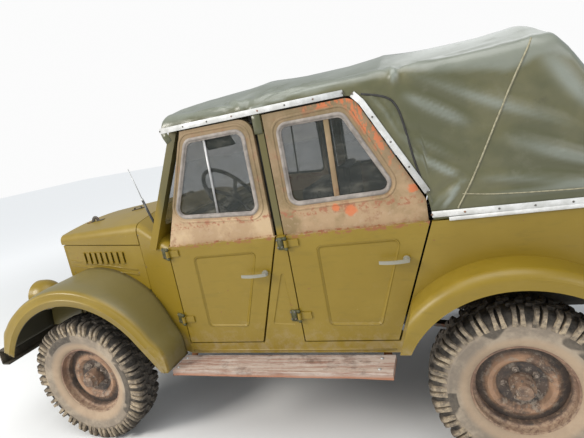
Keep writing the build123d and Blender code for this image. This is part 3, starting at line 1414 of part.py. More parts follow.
# Middle of the disc, from the hub outwards to the rim's well
DISC_LINE = (
    (HUB_FACE_Y + 6, 50),
    (HUB_FACE_Y + 6, 98),
    (738, 116),
    (742, 134),
    (730, 152),
    (716, WELL_R - 3),
)
HUB_LINE = (
    (BACKING_Y + 5, SPINDLE_R + PIN_FIT),
    (BACKING_Y + 5, 50),
    (HUB_FACE_Y - 9, 52),
    (HUB_FACE_Y - 9, 88),
    (HUB_FACE_Y + 2.5, 88),
    (HUB_FACE_Y + 2.5, 52),
    (HUB_END_Y - 22, 49),
    (HUB_END_Y - 22, 36),
    (HUB_END_Y, 33),
    (HUB_END_Y, 0),
    (SPINDLE_END + 3, 0),
    (SPINDLE_END + 3, SPINDLE_R + PIN_FIT),
)
DRUM_LINE = (
    (BACKING_Y + 5, DRUM_R),
    (HUB_FACE_Y - 3, DRUM_R),
    (HUB_FACE_Y - 3, 86),
    (HUB_FACE_Y - 9, 86),
    (HUB_FACE_Y - 9, DRUM_R - 8),
    (BACKING_Y + 5, DRUM_R - 8),
)
STUD_R = 9
STUD_REACH = 16
# Ribs of the tyre's shoulders
RIB_COUNT = 28
RIB_R = 346
RIB_RADIAL = 40
RIB_WIDTH = 38
RIB_START = 52
RIB_REACH = 30


def wheel_ends():
    """Stations and sides of the four wheels, under their names."""
    return (
        ("front_left", FRONT_AXLE_X, 1),
        ("front_right", FRONT_AXLE_X, -1),
        ("rear_left", at(0), 1),
        ("rear_right", at(0), -1),
    )


def build_wheel(x, side):
    """Rim, disc, hub, drum and wheel studs in one."""
    with BuildPart() as wheel:
        with BuildSketch(axle_plane(x, side)):
            with BuildLine():
                Polyline(
                    *RIM_LINE,
                    (RIM_OUT, BEAD_R - RIM_GAUGE),
                    (WHEEL_Y + 33, BEAD_R - RIM_GAUGE),
                    (WHEEL_Y + 27, WELL_R - RIM_GAUGE),
                    (WHEEL_Y - 27, WELL_R - RIM_GAUGE),
                    (WHEEL_Y - 33, BEAD_R - RIM_GAUGE),
                    (RIM_IN, BEAD_R - RIM_GAUGE),
                    close=True,
                )
            make_face()
            with BuildLine():
                half = DISC_GAUGE / 2
                Polyline(
                    *[(y - half, r) for y, r in DISC_LINE],
                    *[(y + half, r) for y, r in reversed(DISC_LINE)],
                    close=True,
                )
            make_face()
            with BuildLine():
                Polyline(*HUB_LINE, close=True)
            make_face()
            with BuildLine():
                Polyline(*DRUM_LINE, close=True)
            make_face()
        revolve(axis=axle_axis(x))
        face_plane = Plane(origin=(x, side * (HUB_FACE_Y + 6), TYRE_R), x_dir=(1, 0, 0), z_dir=(0, side, 0))
        with BuildSketch(face_plane):
            with PolarLocations(STUD_CIRCLE / 2, STUD_COUNT):
                Circle(STUD_R)
        extrude(amount=STUD_REACH)
    return wheel.part


def build_tyre(x, side):
    """Tyre on its bead seats, with a bulging wall, a flat tread and ribs round its shoulders."""
    with BuildPart() as tyre:
        with BuildSketch(axle_plane(x, side)):
            with BuildLine():
                inner = WHEEL_Y - TYRE_WIDTH / 2
                outer = WHEEL_Y + TYRE_WIDTH / 2
                bead_in = (RIM_IN + RIM_GAUGE, BEAD_R)
                bead_out = (RIM_OUT - RIM_GAUGE, BEAD_R)
                Polyline(bead_in, (bead_in[0], RIM_FLANGE_R + 3))
                ThreePointArc((bead_in[0], RIM_FLANGE_R + 3), (inner, 292), (inner + 12, TYRE_R - 26))
                Polyline(
                    (inner + 12, TYRE_R - 26),
                    (inner + 26, TYRE_R - 5),
                    (WHEEL_Y, TYRE_R),
                    (outer - 26, TYRE_R - 5),
                    (outer - 12, TYRE_R - 26),
                )
                ThreePointArc((outer - 12, TYRE_R - 26), (outer, 292), (bead_out[0], RIM_FLANGE_R + 3))
                Polyline((bead_out[0], RIM_FLANGE_R + 3), bead_out, bead_in)
            make_face()
        revolve(axis=axle_axis(x))
        for hand in (1, -1):
            rib_start = (x, side * WHEEL_Y + hand * RIB_START, TYRE_R)
            with BuildSketch(Plane(origin=rib_start, x_dir=(1, 0, 0), z_dir=(0, hand, 0))):
                with PolarLocations(RIB_R, RIB_COUNT):
                    Rectangle(RIB_RADIAL, RIB_WIDTH)
            extrude(amount=RIB_REACH)
    return tyre.part


for name, x, side in wheel_ends():
    keep(build_wheel(x, side), f"wheel_{name}")
    keep(build_tyre(x, side), f"tyre_{name}")
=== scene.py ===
import math

import bmesh
import bpy
import numpy as np
from mathutils import Matrix, Vector
from mathutils.bvhtree import BVHTree


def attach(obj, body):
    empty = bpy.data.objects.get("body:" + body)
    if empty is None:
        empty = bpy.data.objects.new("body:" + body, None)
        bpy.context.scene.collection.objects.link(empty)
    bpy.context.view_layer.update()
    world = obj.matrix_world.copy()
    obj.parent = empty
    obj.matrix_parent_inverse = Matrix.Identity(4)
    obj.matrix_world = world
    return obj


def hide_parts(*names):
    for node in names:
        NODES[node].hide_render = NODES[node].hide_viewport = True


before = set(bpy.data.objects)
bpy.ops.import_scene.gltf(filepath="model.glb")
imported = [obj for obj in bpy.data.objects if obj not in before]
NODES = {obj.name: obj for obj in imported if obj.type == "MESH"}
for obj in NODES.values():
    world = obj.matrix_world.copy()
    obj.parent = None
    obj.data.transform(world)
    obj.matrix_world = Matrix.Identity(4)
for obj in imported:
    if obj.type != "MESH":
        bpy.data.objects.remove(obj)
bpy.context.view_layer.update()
SIDES = (("left", 1), ("right", -1))
REAR_AXLE_X, WHEELBASE, TYRE_R = -1.015, 2.3, 0.380
ARCH_AT, ARCH_RADIUS = (1.2332, 0.3726), 0.5185


def at(ahead):
    """Station in metres for a distance in millimetres ahead of the rear axle."""
    return ahead / 1000 + REAR_AXLE_X


# Node trees
def add_node(tree, kind, settings=None, values=None):
    """A node by its type, its settings and the values or links of its sockets."""
    node = tree.nodes.new(kind)
    for key, value in (settings or {}).items():
        setattr(node, key, value)
    for key, value in (values or {}).items():
        if isinstance(value, bpy.types.NodeSocket):
            tree.links.new(value, node.inputs[key])
        else:
            node.inputs[key].default_value = value
    return node


class Term:
    """A number that varies over a surface: sums on it add Math nodes."""

    def __init__(self, finish, socket):
        self.finish = finish
        self.socket = socket

    def combine(self, operation, first, second):
        return self.finish.add("ShaderNodeMath", {"operation": operation}, {0: first, 1: second})

    def __add__(self, other):
        return self.combine("ADD", self, other)

    def __radd__(self, other):
        return self.combine("ADD", other, self)

    def __sub__(self, other):
        return self.combine("SUBTRACT", self, other)

    def __rsub__(self, other):
        return self.combine("SUBTRACT", other, self)

    def __mul__(self, other):
        return self.combine("MULTIPLY", self, other)

    def __rmul__(self, other):
        return self.combine("MULTIPLY", other, self)

    def __abs__(self):
        return self.combine("ABSOLUTE", self, 0.0)

    def __or__(self, other):
        return self.combine("MAXIMUM", self, other)


class Finish:
    """A material whose colour is laid on layer by layer in its node tree."""

    def __init__(self, name, base):
        self.material = bpy.data.materials.new(name)
        self.material.use_nodes = True
        self.tree = self.material.node_tree
        self.tree.nodes.clear()
        self.base = base
        self.place = self.add("ShaderNodeTexCoord", output="Object")
        self.x, self.y, self.z = self.parts(self.place)

    def add(self, kind, settings=None, values=None, output=0):
        plain = {}
        for key, value in (values or {}).items():
            plain[key] = value.socket if isinstance(value, Term) else value
        return Term(self, add_node(self.tree, kind, settings, plain).outputs[output])

    def parts(self, vector):
        node = self.add("ShaderNodeSeparateXYZ", None, {0: vector}).socket.node
        return [Term(self, socket) for socket in node.outputs]

    def noise(self, scale, detail=3, rough=0.55, stretch=None):
        spot = self.place
        if stretch:
            spot = self.add("ShaderNodeMapping", None, {"Vector": spot, "Scale": stretch})
        values = {"Vector": spot, "Scale": scale, "Detail": detail, "Roughness": rough}
        return self.add("ShaderNodeTexNoise", None, values)

    def cells(self, scale):
        return self.add("ShaderNodeTexVoronoi", None, {"Vector": self.place, "Scale": scale})

    def waves(self, scale, direction, twist=0.0):
        values = {"Vector": self.place, "Scale": scale, "Distortion": twist}
        return self.add("ShaderNodeTexWave", {"bands_direction": direction}, values, "Fac")

    def step(self, value, low, high):
        """0 below low, 1 above high, smooth between."""
        values = {"Value": value, "From Min": low, "From Max": high}
        return self.add("ShaderNodeMapRange", {"interpolation_type": "SMOOTHSTEP"}, values)

    def band(self, value, rise, fall):
        """1 between two soft edges, each given by its two ends."""
        return self.step(value, *rise) * (1 - self.step(value, *fall))

    def patches(self, scale, detail, rough, low, high, stretch=None):
        """Noise cut into patches with soft edges."""
        return self.step(self.noise(scale, detail, rough, stretch), low, high)

    def distance(self, across, rise):
        """Length of a flat vector."""
        return self.add("ShaderNodeMath", {"operation": "SQRT"}, {0: across * across + rise * rise})

    def colour(self, first, second, share):
        first = first if isinstance(first, Term) else (*first, 1)
        second = second if isinstance(second, Term) else (*second, 1)
        return self.add("ShaderNodeMix", {"data_type": "RGBA"}, {0: share, 6: first, 7: second}, 2)

    def lay(self, layer, share):
        """Cover the colour so far with a layer, as far as its share goes."""
        self.base = self.colour(self.base, layer, share)

    def relief(self, height, strength, depth, under=None):
        values = {"Height": height, "Strength": strength, "Distance": depth}
        if under:
            values["Normal"] = under
        return self.add("ShaderNodeBump", None, values)

    def surface(self, **values):
        """The principled shader over the layers so far, with constants on its own sockets."""
        words = {
            "rough": "Roughness", "metal": "Metallic", "normal": "Normal", "alpha": "Alpha",
            "coat": "Coat Weight", "coat_rough": "Coat Roughness", "specular": "Specular IOR Level",
            "glow": "Emission Color", "glow_power": "Emission Strength",
        }
        sockets = {words[key]: value for key, value in values.items()}
        shader = self.add("ShaderNodeBsdfPrincipled", None, {"Base Color": self.base, **sockets})
        add_node(self.tree, "ShaderNodeOutputMaterial", None, {"Surface": shader.socket})
        return self.material


# Finishes
OLIVE = (0.222, 0.147, 0.010)
OLIVE_PALE = (0.285, 0.198, 0.026)
OLIVE_DEEP = (0.130, 0.094, 0.010)
DUST = (0.34, 0.27, 0.18)
RUST = (0.20, 0.075, 0.030)
PRIMER = (0.58, 0.155, 0.055)
TAN = (0.385, 0.262, 0.150)


def body_paint(finish):
    """Brushed olive paint: uneven coats, dust low down and chips. Gives roughness and relief."""
    wide = finish.noise(2.3, 4, 0.6)
    finish.lay(OLIVE_PALE, finish.step(wide, 0.42, 0.72) * 0.55)
    finish.lay(OLIVE_DEEP, finish.patches(9, 5, 0.65, 0.52, 0.75, stretch=(1, 1, 5)) * 0.25)
    low = 1 - finish.step(finish.z, 0.5, 0.78)
    dust = finish.step(finish.noise(17, 6, 0.75) + low * 0.20, 0.56, 0.86) * (0.12 + low * 0.36)
    finish.lay(DUST, dust)
    chips = finish.patches(75, 3, 0.6, 0.735, 0.76)
    finish.lay((0.42, 0.36, 0.2), chips * 0.6)
    finish.lay(RUST, finish.patches(46, 2, 0.5, 0.755, 0.775) * 0.8)
    dents = finish.relief(finish.noise(3.1, 2, 0.4), 0.35, 0.012)
    skin = finish.relief(finish.noise(160, 3, 0.6) - chips * 0.5, 0.12, 0.0015, dents)
    return 0.36 + dust * 0.35 + finish.step(wide, 0.3, 0.7) * 0.1, skin


def paint_finish():
    """Body paint, darkened nearly to black above the belt from the windscreen back as painted shade."""
    finish = Finish("olive_paint", OLIVE)
    rough, skin = body_paint(finish)
    # Painted shade: posts and frames above the belt, behind the windscreen, are darkened nearly to black
    post_shade = finish.step(finish.z, 1.13, 1.18) * (1 - finish.step(finish.x, 0.56, 0.64))
    finish.lay((0.085, 0.080, 0.034), post_shade * 0.85)
    return finish.surface(rough=rough, normal=skin, coat=0.15, coat_rough=0.28, specular=0.4)


def wing_finish():
    """Front wings: olive flange, a crown darkened as painted shade and reflection, and nearly black on the
    sides that face the wheel.
    """
    finish = Finish("wing_paint", OLIVE)
    rough, skin = body_paint(finish)
    # Painted shade and reflection: the crown inside the flange is darkened to a grey-green
    crown = 1 - finish.step(abs(finish.y), 0.842, 0.868)
    finish.lay((0.105, 0.112, 0.070), crown * 0.55)
    facing = finish.parts(finish.add("ShaderNodeTexCoord", output="Normal"))
    from_hub = (finish.x - ARCH_AT[0], finish.y, finish.z - ARCH_AT[1])
    outward = facing[0] * from_hub[0] + facing[1] * from_hub[1] + facing[2] * from_hub[2]
    # Nearly black on the sides that face the wheel's hub
    inside = 1 - finish.step(outward, -0.08, -0.02)
    finish.lay((0.030, 0.028, 0.018), inside * 0.88)
    rough = rough + inside * 0.3
    return finish.surface(rough=rough, normal=skin, coat=0.15, coat_rough=0.28, specular=0.4)


def sanded_frame(finish, fine):
    """Colour of the doors' upper frames: old paint sanded to tan, with rust and primer."""
    broad = finish.noise(5, 5, 0.65)
    tan = finish.colour(TAN, (0.235, 0.165, 0.080), finish.step(broad, 0.42, 0.64))
    bleached = finish.step(finish.x, -0.06, -0.02) * (1 - finish.step(finish.z, 1.205, 1.30))
    tan = finish.colour(tan, (0.60, 0.44, 0.27), bleached * finish.step(broad, 0.36, 0.56) * 0.7)
    tan = finish.colour(tan, (0.46, 0.33, 0.23), finish.step(fine, 0.5, 0.68) * 0.4)
    high = finish.step(finish.z + (broad - 0.5) * 0.2, 1.24, 1.40)
    tan = finish.colour(tan, (0.165, 0.122, 0.066), high * 0.55)
    rust = finish.patches(11, 6, 0.75, 0.55, 0.66)
    tan = finish.colour(tan, (0.25, 0.115, 0.062), rust * 0.55)
    sills = finish.band(finish.z, (1.195, 1.205), (1.225, 1.245))
    tan = finish.colour(tan, (0.30, 0.10, 0.05), sills * finish.step(fine, 0.47, 0.6) * 0.8)

    def spot(x, z, size):
        away = finish.distance(finish.x - x, finish.z - z)
        return 1 - finish.step(away + (fine - 0.5) * size * 1.5, size * 0.55, size)

    slant = (finish.x + 0.718) * 0.889 - (finish.z - 1.213) * 0.459
    edge = (1 - finish.step(slant, 0.034, 0.060)) | finish.step(finish.z, 1.652, 1.668)
    near = 1 - finish.step(finish.distance(finish.x + 0.49, finish.z - 1.65), 0.10, 0.46)
    streaks = finish.noise(16, 6, 0.72, stretch=(2.2, 1, 1))
    streaked = finish.step(streaks + near * 0.14, 0.60, 0.66) * edge * near
    rear = 1 - finish.step(finish.x, -0.10, -0.06)
    blots = spot(-0.671, 1.268, 0.026) | spot(-0.395, 1.203, 0.034) | spot(-0.33, 1.222, 0.022)
    return finish.colour(tan, PRIMER, (streaked | blots) * rear * 0.8), rust


def door_finish():
    """Olive below the belt, sanded above it, with rust along the belt and bare lever handles."""
    finish = Finish("door_paint", OLIVE)
    rough, skin = body_paint(finish)
    fine = finish.noise(38, 5, 0.7)
    tan, rust = sanded_frame(finish, fine)
    flow = finish.z + (fine - 0.5) * 0.012
    upper = finish.step(flow, 1.118, 1.122)
    finish.lay(tan, upper)
    belt = finish.band(flow, (1.100, 1.112), (1.122, 1.132))
    finish.lay((0.26, 0.085, 0.04), belt * finish.patches(24, 6, 0.75, 0.5, 0.56) * 0.85)
    proud = finish.step(abs(finish.y), 0.7125, 0.7145)
    lever = proud * finish.band(finish.z, (0.928, 0.932), (0.986, 0.990))
    finish.lay((0.27, 0.27, 0.235), lever * (0.6 + fine * 0.5))
    worn = finish.relief(finish.noise(120, 4, 0.7) * 0.6 + rust * 0.2, 0.25, 0.002, skin)
    rough, coat = rough + upper * 0.28, (1 - upper) * 0.12
    return finish.surface(rough=rough, normal=worn, coat=coat, coat_rough=0.3, specular=0.4)


def metal_finish(name, colour, second, scale, rough, metal, rust_share):
    """Worn metal: two tones, with rust where the noise is high."""
    finish = Finish(name, colour)
    grain = finish.noise(scale, 6, 0.7)
    low, high = 0.66 - rust_share * 0.3, 0.74 - rust_share * 0.26
    rust = finish.patches(scale * 0.45, 6, 0.72, low, high)
    finish.lay(second, finish.step(grain, 0.42, 0.66))
    finish.lay(finish.colour(RUST, (0.33, 0.15, 0.07), grain), rust)
    relief = finish.relief(grain + rust * 0.3, 0.35, 0.003)
    return finish.surface(rough=rough + rust * 0.25, metal=metal * (1 - rust), normal=relief)


def chassis_finish():
    """Black-brown underside paint under road dust."""
    finish = Finish("chassis_paint", (0.028, 0.027, 0.022))
    dust = finish.patches(7, 6, 0.7, 0.45, 0.72)
    finish.lay((0.062, 0.052, 0.034), finish.noise(30, 4))
    finish.lay((0.19, 0.145, 0.095), dust * 0.55)
    relief = finish.relief(finish.noise(90, 4, 0.7), 0.3, 0.003)
    return finish.surface(rough=0.62 + dust * 0.3, normal=relief)


def tarpaulin_finish():
    """Coated cloth: dark green with a fine weave, and paler where its worn attribute is high, which marks
    the paler top and painted highlights along the fold ridges.
    """
    finish = Finish("tarpaulin", (0.082, 0.083, 0.040))
    broad = finish.noise(3.2, 4, 0.6)
    marks = finish.patches(8, 6, 0.7, 0.56, 0.7)
    finish.lay((0.125, 0.118, 0.058), finish.step(broad, 0.4, 0.66))
    finish.lay((0.17, 0.165, 0.115), marks * 0.22)
    dirt = finish.patches(21, 5, 0.7, 0.6, 0.76)
    finish.lay((0.05, 0.045, 0.026), dirt * 0.35)
    # The worn attribute holds the paler top and painted highlights on the fold ridges
    worn = finish.add("ShaderNodeAttribute", {"attribute_name": "worn"}, None, "Fac")
    finish.lay((0.255, 0.280, 0.250), worn * (0.55 + finish.step(broad, 0.35, 0.6) * 0.3))
    crease = finish.relief(finish.noise(12, 5, 0.62), 0.28, 0.006)
    cloth = finish.relief(finish.waves(190, "X") * finish.waves(190, "Z"), 0.10, 0.0006, crease)
    rough = 0.30 + marks * 0.16 + dirt * 0.1
    return finish.surface(rough=rough, normal=cloth, coat=0.15, coat_rough=0.25)


def glass_finish(name, tint, painted_shade_opacity):
    """Old pane: thin, smeared, and dustier towards its lower edge; its greenish tint is laid near-black at
    part opacity, painted shade that darkens the view through it.
    """
    finish = Finish(name, tint)
    smears = finish.patches(9, 6, 0.72, 0.44, 0.8, stretch=(1, 1, 2.6))
    specks = finish.patches(140, 2, 0.5, 0.66, 0.72)
    low = 1 - finish.step(finish.z, 1.22, 1.42)
    dirt = (smears * (0.35 + low * 0.4)) | specks * 0.5
    finish.lay((0.36, 0.33, 0.26), dirt * 0.7)
    # Painted shade: the near-black tint, laid at part opacity, darkens everything seen through the pane
    return finish.surface(rough=0.04 + dirt * 0.4, alpha=painted_shade_opacity + dirt * 0.34, specular=0.8)


def lens_finish(name, deep, bright, pitch):
    """Pressed lens: moulded ribs in clear glass."""
    finish = Finish(name, deep)
    ribs = finish.waves(pitch, "Y")
    finish.lay(bright, ribs * 0.6 + finish.noise(30) * 0.3)
    relief = finish.relief(ribs, 0.6, 0.003)
    return finish.surface(rough=0.14, normal=relief, coat=0.6, coat_rough=0.08)


def axle_radius(finish):
    """Distance from the axis of the nearer axle."""
    front = finish.step(finish.x, 0.1, 0.12)
    return finish.distance(finish.x - (front * WHEELBASE + REAR_AXLE_X), finish.z - TYRE_R)


def tyre_finish():
    """Old rubber: grey road dust on the side wall, tan at the bead, black between the ribs."""
    finish = Finish("dusty_rubber", (0.040, 0.036, 0.032))
    radius = axle_radius(finish)
    outer = finish.step(abs(finish.y), 0.70, 0.81)
    grit = finish.noise(60, 5, 0.7)
    finish.lay((0.085, 0.074, 0.062), finish.step(grit, 0.35, 0.65))
    patch = finish.patches(7, 5, 0.65, 0.42, 0.62)
    dust = finish.colour((0.270, 0.222, 0.172), (0.43, 0.350, 0.262), patch)
    wet = finish.patches(3.6, 3, 0.5, 0.545, 0.575) * finish.step(radius, 0.262, 0.268)
    wall = (1 - finish.step(radius, 0.306, 0.330)) * outer
    finish.lay(dust, wall * (1 - wet * 0.8) * (0.72 + grit * 0.3))
    bead = 1 - finish.step(radius + (grit - 0.5) * 0.02, 0.232, 0.268)
    finish.lay((0.47, 0.335, 0.220), bead * outer * 0.65)
    return finish.surface(rough=0.86, normal=finish.relief(grit, 0.3, 0.002), specular=0.3)


def rib_finish():
    """Tread ribs: pale dried mud on their outer faces, bare rubber where they meet the road."""
    finish = Finish("muddy_rubber", (0.048, 0.043, 0.038))
    outer = finish.step(abs(finish.y), 0.770, 0.800)
    grit = finish.noise(48, 6, 0.72)
    finish.lay((0.115, 0.098, 0.080), finish.step(grit, 0.38, 0.62))
    mud = finish.colour((0.19, 0.155, 0.120), (0.47, 0.375, 0.255), finish.step(grit, 0.36, 0.64))
    shade = 1 - finish.step(axle_radius(finish), 0.350, 0.372) * 0.75
    finish.lay(mud, outer * shade * finish.patches(5, 4, 0.6, 0.28, 0.56))
    return finish.surface(rough=0.88, normal=finish.relief(grit, 0.4, 0.003), specular=0.25)


def wheel_finish():
    """Steel wheel: old paint gone to brown rust, with bare spots, mud, and painted shade darkening its
    hollows.
    """
    finish = Finish("rusty_wheel", (0.125, 0.084, 0.062))
    broad = finish.noise(10, 6, 0.7)
    fine = finish.noise(55, 6, 0.72)
    finish.lay((0.285, 0.180, 0.118), finish.step(broad, 0.4, 0.64))
    finish.lay((0.40, 0.28, 0.18), finish.step(fine, 0.52, 0.66) * 0.75)
    finish.lay((0.060, 0.056, 0.052), finish.patches(16, 5, 0.6, 0.56, 0.66) * 0.7)
    radius = axle_radius(finish)
    bare = finish.band(radius, (0.100, 0.106), (0.140, 0.150))
    finish.lay((0.42, 0.245, 0.145), bare * finish.step(broad, 0.36, 0.56) * 0.75)
    # Painted shade: the rim's deep well and the recess round the hub are darkened
    well_shade = finish.band(radius, (0.148, 0.160), (0.180, 0.186))
    hollow_shade = finish.band(radius, (0.050, 0.054), (0.096, 0.104))
    finish.lay((0.045, 0.044, 0.044), (well_shade | hollow_shade) * 0.66)
    mud = finish.patches(26, 6, 0.75, 0.52, 0.60) * (1 - finish.step(radius, 0.150, 0.170))
    finish.lay((0.36, 0.30, 0.235), mud * 0.6)
    rim = finish.step(radius, 0.186, 0.192)
    low = 1 - finish.step(finish.z + (broad - 0.5) * 0.2, 0.24, 0.44)
    finish.lay((0.27, 0.150, 0.100), rim * 0.4)
    finish.lay((0.47, 0.345, 0.235), rim * low * finish.step(fine, 0.34, 0.6) * 0.7)
    return finish.surface(rough=0.7, normal=finish.relief(fine, 0.5, 0.003), metal=0.1)


def small_lamp_finish():
    """Amber lenses ahead and red ones behind; the front lamps stand on painted feet."""
    finish = Finish("small_lamp", (0.20, 0.010, 0.008))
    ribs = finish.waves(60, "Y")
    ahead = finish.step(finish.x, -0.1, 0.1)
    foot = (1 - finish.step(finish.z, 0.752, 0.754)) * ahead
    finish.lay((0.42, 0.025, 0.018), ribs)
    finish.lay(finish.colour((0.50, 0.12, 0.012), (0.80, 0.27, 0.04), ribs), ahead)
    finish.lay(OLIVE, foot)
    relief = finish.relief(ribs, 0.5, 0.002)
    return finish.surface(rough=0.16 + foot * 0.3, normal=relief, coat=0.5, coat_rough=0.1)


def wood_finish():
    """Weathered board: grey top, and reddish paint left in the grain and on its sides."""
    finish = Finish("old_board", (0.27, 0.150, 0.108))
    grain = finish.noise(30, 8, 0.7, stretch=(0.12, 2.2, 2.2))
    finish.lay((0.43, 0.345, 0.290), finish.step(grain, 0.36, 0.60))
    finish.lay((0.115, 0.075, 0.058), finish.patches(9, 6, 0.7, 0.52, 0.7) * 0.7)
    scuffed = finish.patches(13, 6, 0.75, 0.50, 0.60, stretch=(0.5, 1.6, 1.6))
    finish.lay((0.56, 0.50, 0.44), scuffed * 0.35)
    underside = 1 - finish.step(finish.z, 0.468, 0.488)
    finish.lay((0.36, 0.155, 0.085), underside * 0.85)
    relief = finish.relief(grain * 0.8 + finish.waves(16, "Y", 3.0) * 0.2, 0.55, 0.004)
    return finish.surface(rough=0.84, normal=relief, specular=0.25)


def leathercloth_finish():
    """Seat cloth: grained, cracked and rubbed."""
    finish = Finish("seat_cloth", (0.030, 0.027, 0.022))
    rub = finish.patches(5, 4, 0.6, 0.5, 0.72)
    finish.lay((0.085, 0.070, 0.050), rub)
    crease = finish.relief(finish.noise(26, 5, 0.65), 0.3, 0.004)
    leather = finish.relief(finish.cells(420), 0.2, 0.0008, crease)
    return finish.surface(rough=0.46 + rub * 0.2, normal=leather)


def plain_finish(name, colour, second, scale, rough, depth=0.001, metal=0.0, coat=0.0):
    """Two close tones in a noise, with a little relief."""
    finish = Finish(name, colour)
    grain = finish.noise(scale, 5, 0.65)
    finish.lay(second, finish.step(grain, 0.36, 0.66))
    rough, relief = rough + grain * 0.12, finish.relief(grain, 0.35, depth)
    return finish.surface(rough=rough, normal=relief, metal=metal, coat=coat, coat_rough=0.2)


PAINT = paint_finish()
WING_PAINT = wing_finish()
DOOR_PAINT = door_finish()
CHASSIS = chassis_finish()
CAST = metal_finish("cast_metal", (0.075, 0.070, 0.062), (0.13, 0.118, 0.10), 26, 0.55, 0.5, 0.35)
STEEL = metal_finish("worn_steel", (0.20, 0.19, 0.175), (0.11, 0.10, 0.09), 34, 0.42, 0.8, 0.4)
PIPE = metal_finish("exhaust_steel", (0.16, 0.12, 0.09), (0.09, 0.06, 0.045), 30, 0.6, 0.5, 0.9)
RUSTED = metal_finish("rusted_steel", (0.13, 0.075, 0.05), (0.22, 0.12, 0.07), 40, 0.72, 0.2, 1.0)
CLOTH = tarpaulin_finish()
GLASS = glass_finish("old_glass", (0.026, 0.031, 0.026), 0.38)
LENS = lens_finish("clear_lens", (0.42, 0.44, 0.44), (0.75, 0.78, 0.78), 42)
SMALL_LENS = small_lamp_finish()
RUBBER = plain_finish("tyre_black", (0.03, 0.028, 0.026), (0.055, 0.05, 0.044), 60, 0.75)
TYRE = tyre_finish()
RIB = rib_finish()
WHEEL = wheel_finish()
BOARD = wood_finish()
SEAT = leathercloth_finish()
PLASTIC = plain_finish(
    "black_plastic", (0.018, 0.018, 0.017), (0.034, 0.033, 0.030), 90, 0.34, 0.0005, coat=0.2
)
TRIM = plain_finish("pale_trim", (0.52, 0.52, 0.50), (0.68, 0.68, 0.67), 22, 0.42, metal=0.15)
BEAD = plain_finish("grey_rubber", (0.20, 0.175, 0.155), (0.33, 0.29, 0.255), 24, 0.62, 0.002)
SEAL = plain_finish("black_seal", (0.016, 0.015, 0.014), (0.030, 0.028, 0.025), 50, 0.6)
GALVANISED = plain_finish("dull_zinc", (0.36, 0.36, 0.36), (0.50, 0.50, 0.49), 40, 0.42, metal=0.7)
THREAD = plain_finish("seam_thread", (0.36, 0.33, 0.22), (0.22, 0.20, 0.13), 80, 0.7)
NUT = plain_finish("muddy_nut", (0.105, 0.080, 0.062), (0.36, 0.30, 0.245), 70, 0.7, 0.003)
HINGE_PAINT = plain_finish("hinge_paint", (0.040, 0.042, 0.014), (0.085, 0.078, 0.026), 40, 0.5)
DIAL = plain_finish("dial_black", (0.012, 0.012, 0.012), (0.022, 0.022, 0.022), 60, 0.4)

SLOT_FINISH = {
    "body_paint": PAINT, "chassis_paint": CHASSIS, "cast_metal": CAST, "steel": STEEL,
    "exhaust_steel": PIPE, "glass": GLASS, "lamp_glass": LENS, "canvas": CLOTH, "upholstery": SEAT,
    "wood": BOARD, "black_plastic": PLASTIC, "wheel_paint": WHEEL, "tyre_rubber": RUBBER,
}
for node in NODES.values():
    for slot in node.material_slots:
        slot.material = SLOT_FINISH[slot.material.name.split(".")[0]]
for place in ("front", "rear"):
    for side, _ in SIDES:
        NODES[f"door_{place}_{side}"].material_slots[0].material = DOOR_PAINT
NODES["small_lamps"].material_slots[0].material = SMALL_LENS


# Pieces
def link(name, data):
    """A new object of the scene that shows the data."""
    thing = bpy.data.objects.new(name, data)
    bpy.context.scene.collection.objects.link(thing)
    return thing


def plain_mesh(holder):
    """The mesh that a holder's modifiers make; the holder itself goes."""
    seen = holder.evaluated_get(bpy.context.evaluated_depsgraph_get())
    result = bpy.data.meshes.new_from_object(seen)
    bpy.data.objects.remove(holder)
    return result


def put(name, mesh, finish, body="body"):
    """A finished mesh as a piece that rides on a body."""
    piece = link(name, mesh)
    mesh.materials.clear()
    mesh.materials.append(finish)
    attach(piece, body)
    return piece


def mesh_of(name, points, faces, smooth=True, outward=True):
    """A mesh whose doubles are merged and whose faces point outwards."""
    mesh = bpy.data.meshes.new(name)
    work = bmesh.new()
    corners = [work.verts.new(point) for point in points]
    for face in faces:
        if len(set(face)) > 2:
            work.faces.new([corners[i] for i in face])
    bmesh.ops.remove_doubles(work, verts=work.verts[:], dist=1e-6)
    if outward:
        bmesh.ops.recalc_face_normals(work, faces=work.faces[:])
    work.to_mesh(mesh)
    work.free()
    for polygon in mesh.polygons:
        polygon.use_smooth = smooth
    return mesh


def grid_faces(rows, columns, round_rows=False, round_columns=False):
    """Quads between the points of a grid, stored row by row."""
    faces = []
    for row in range(rows if round_rows else rows - 1):
        here, below = row * columns, (row + 1) % rows * columns
        for column in range(columns if round_columns else columns - 1):
            beside = (column + 1) % columns
            faces.append((here + column, here + beside, below + beside, below + column))
    return faces


def join(name, meshes):
    """Several meshes as one."""
    work = bmesh.new()
    for mesh in meshes:
        work.from_mesh(mesh)
    result = bpy.data.meshes.new(name)
    work.to_mesh(result)
    work.free()
    return result


def mirrored(mesh):
    """The same mesh on the other side, its faces still outwards."""
    other = mesh.copy()
    other.transform(Matrix.Scale(-1, 4, (0, 1, 0)))
    other.flip_normals()
    return other


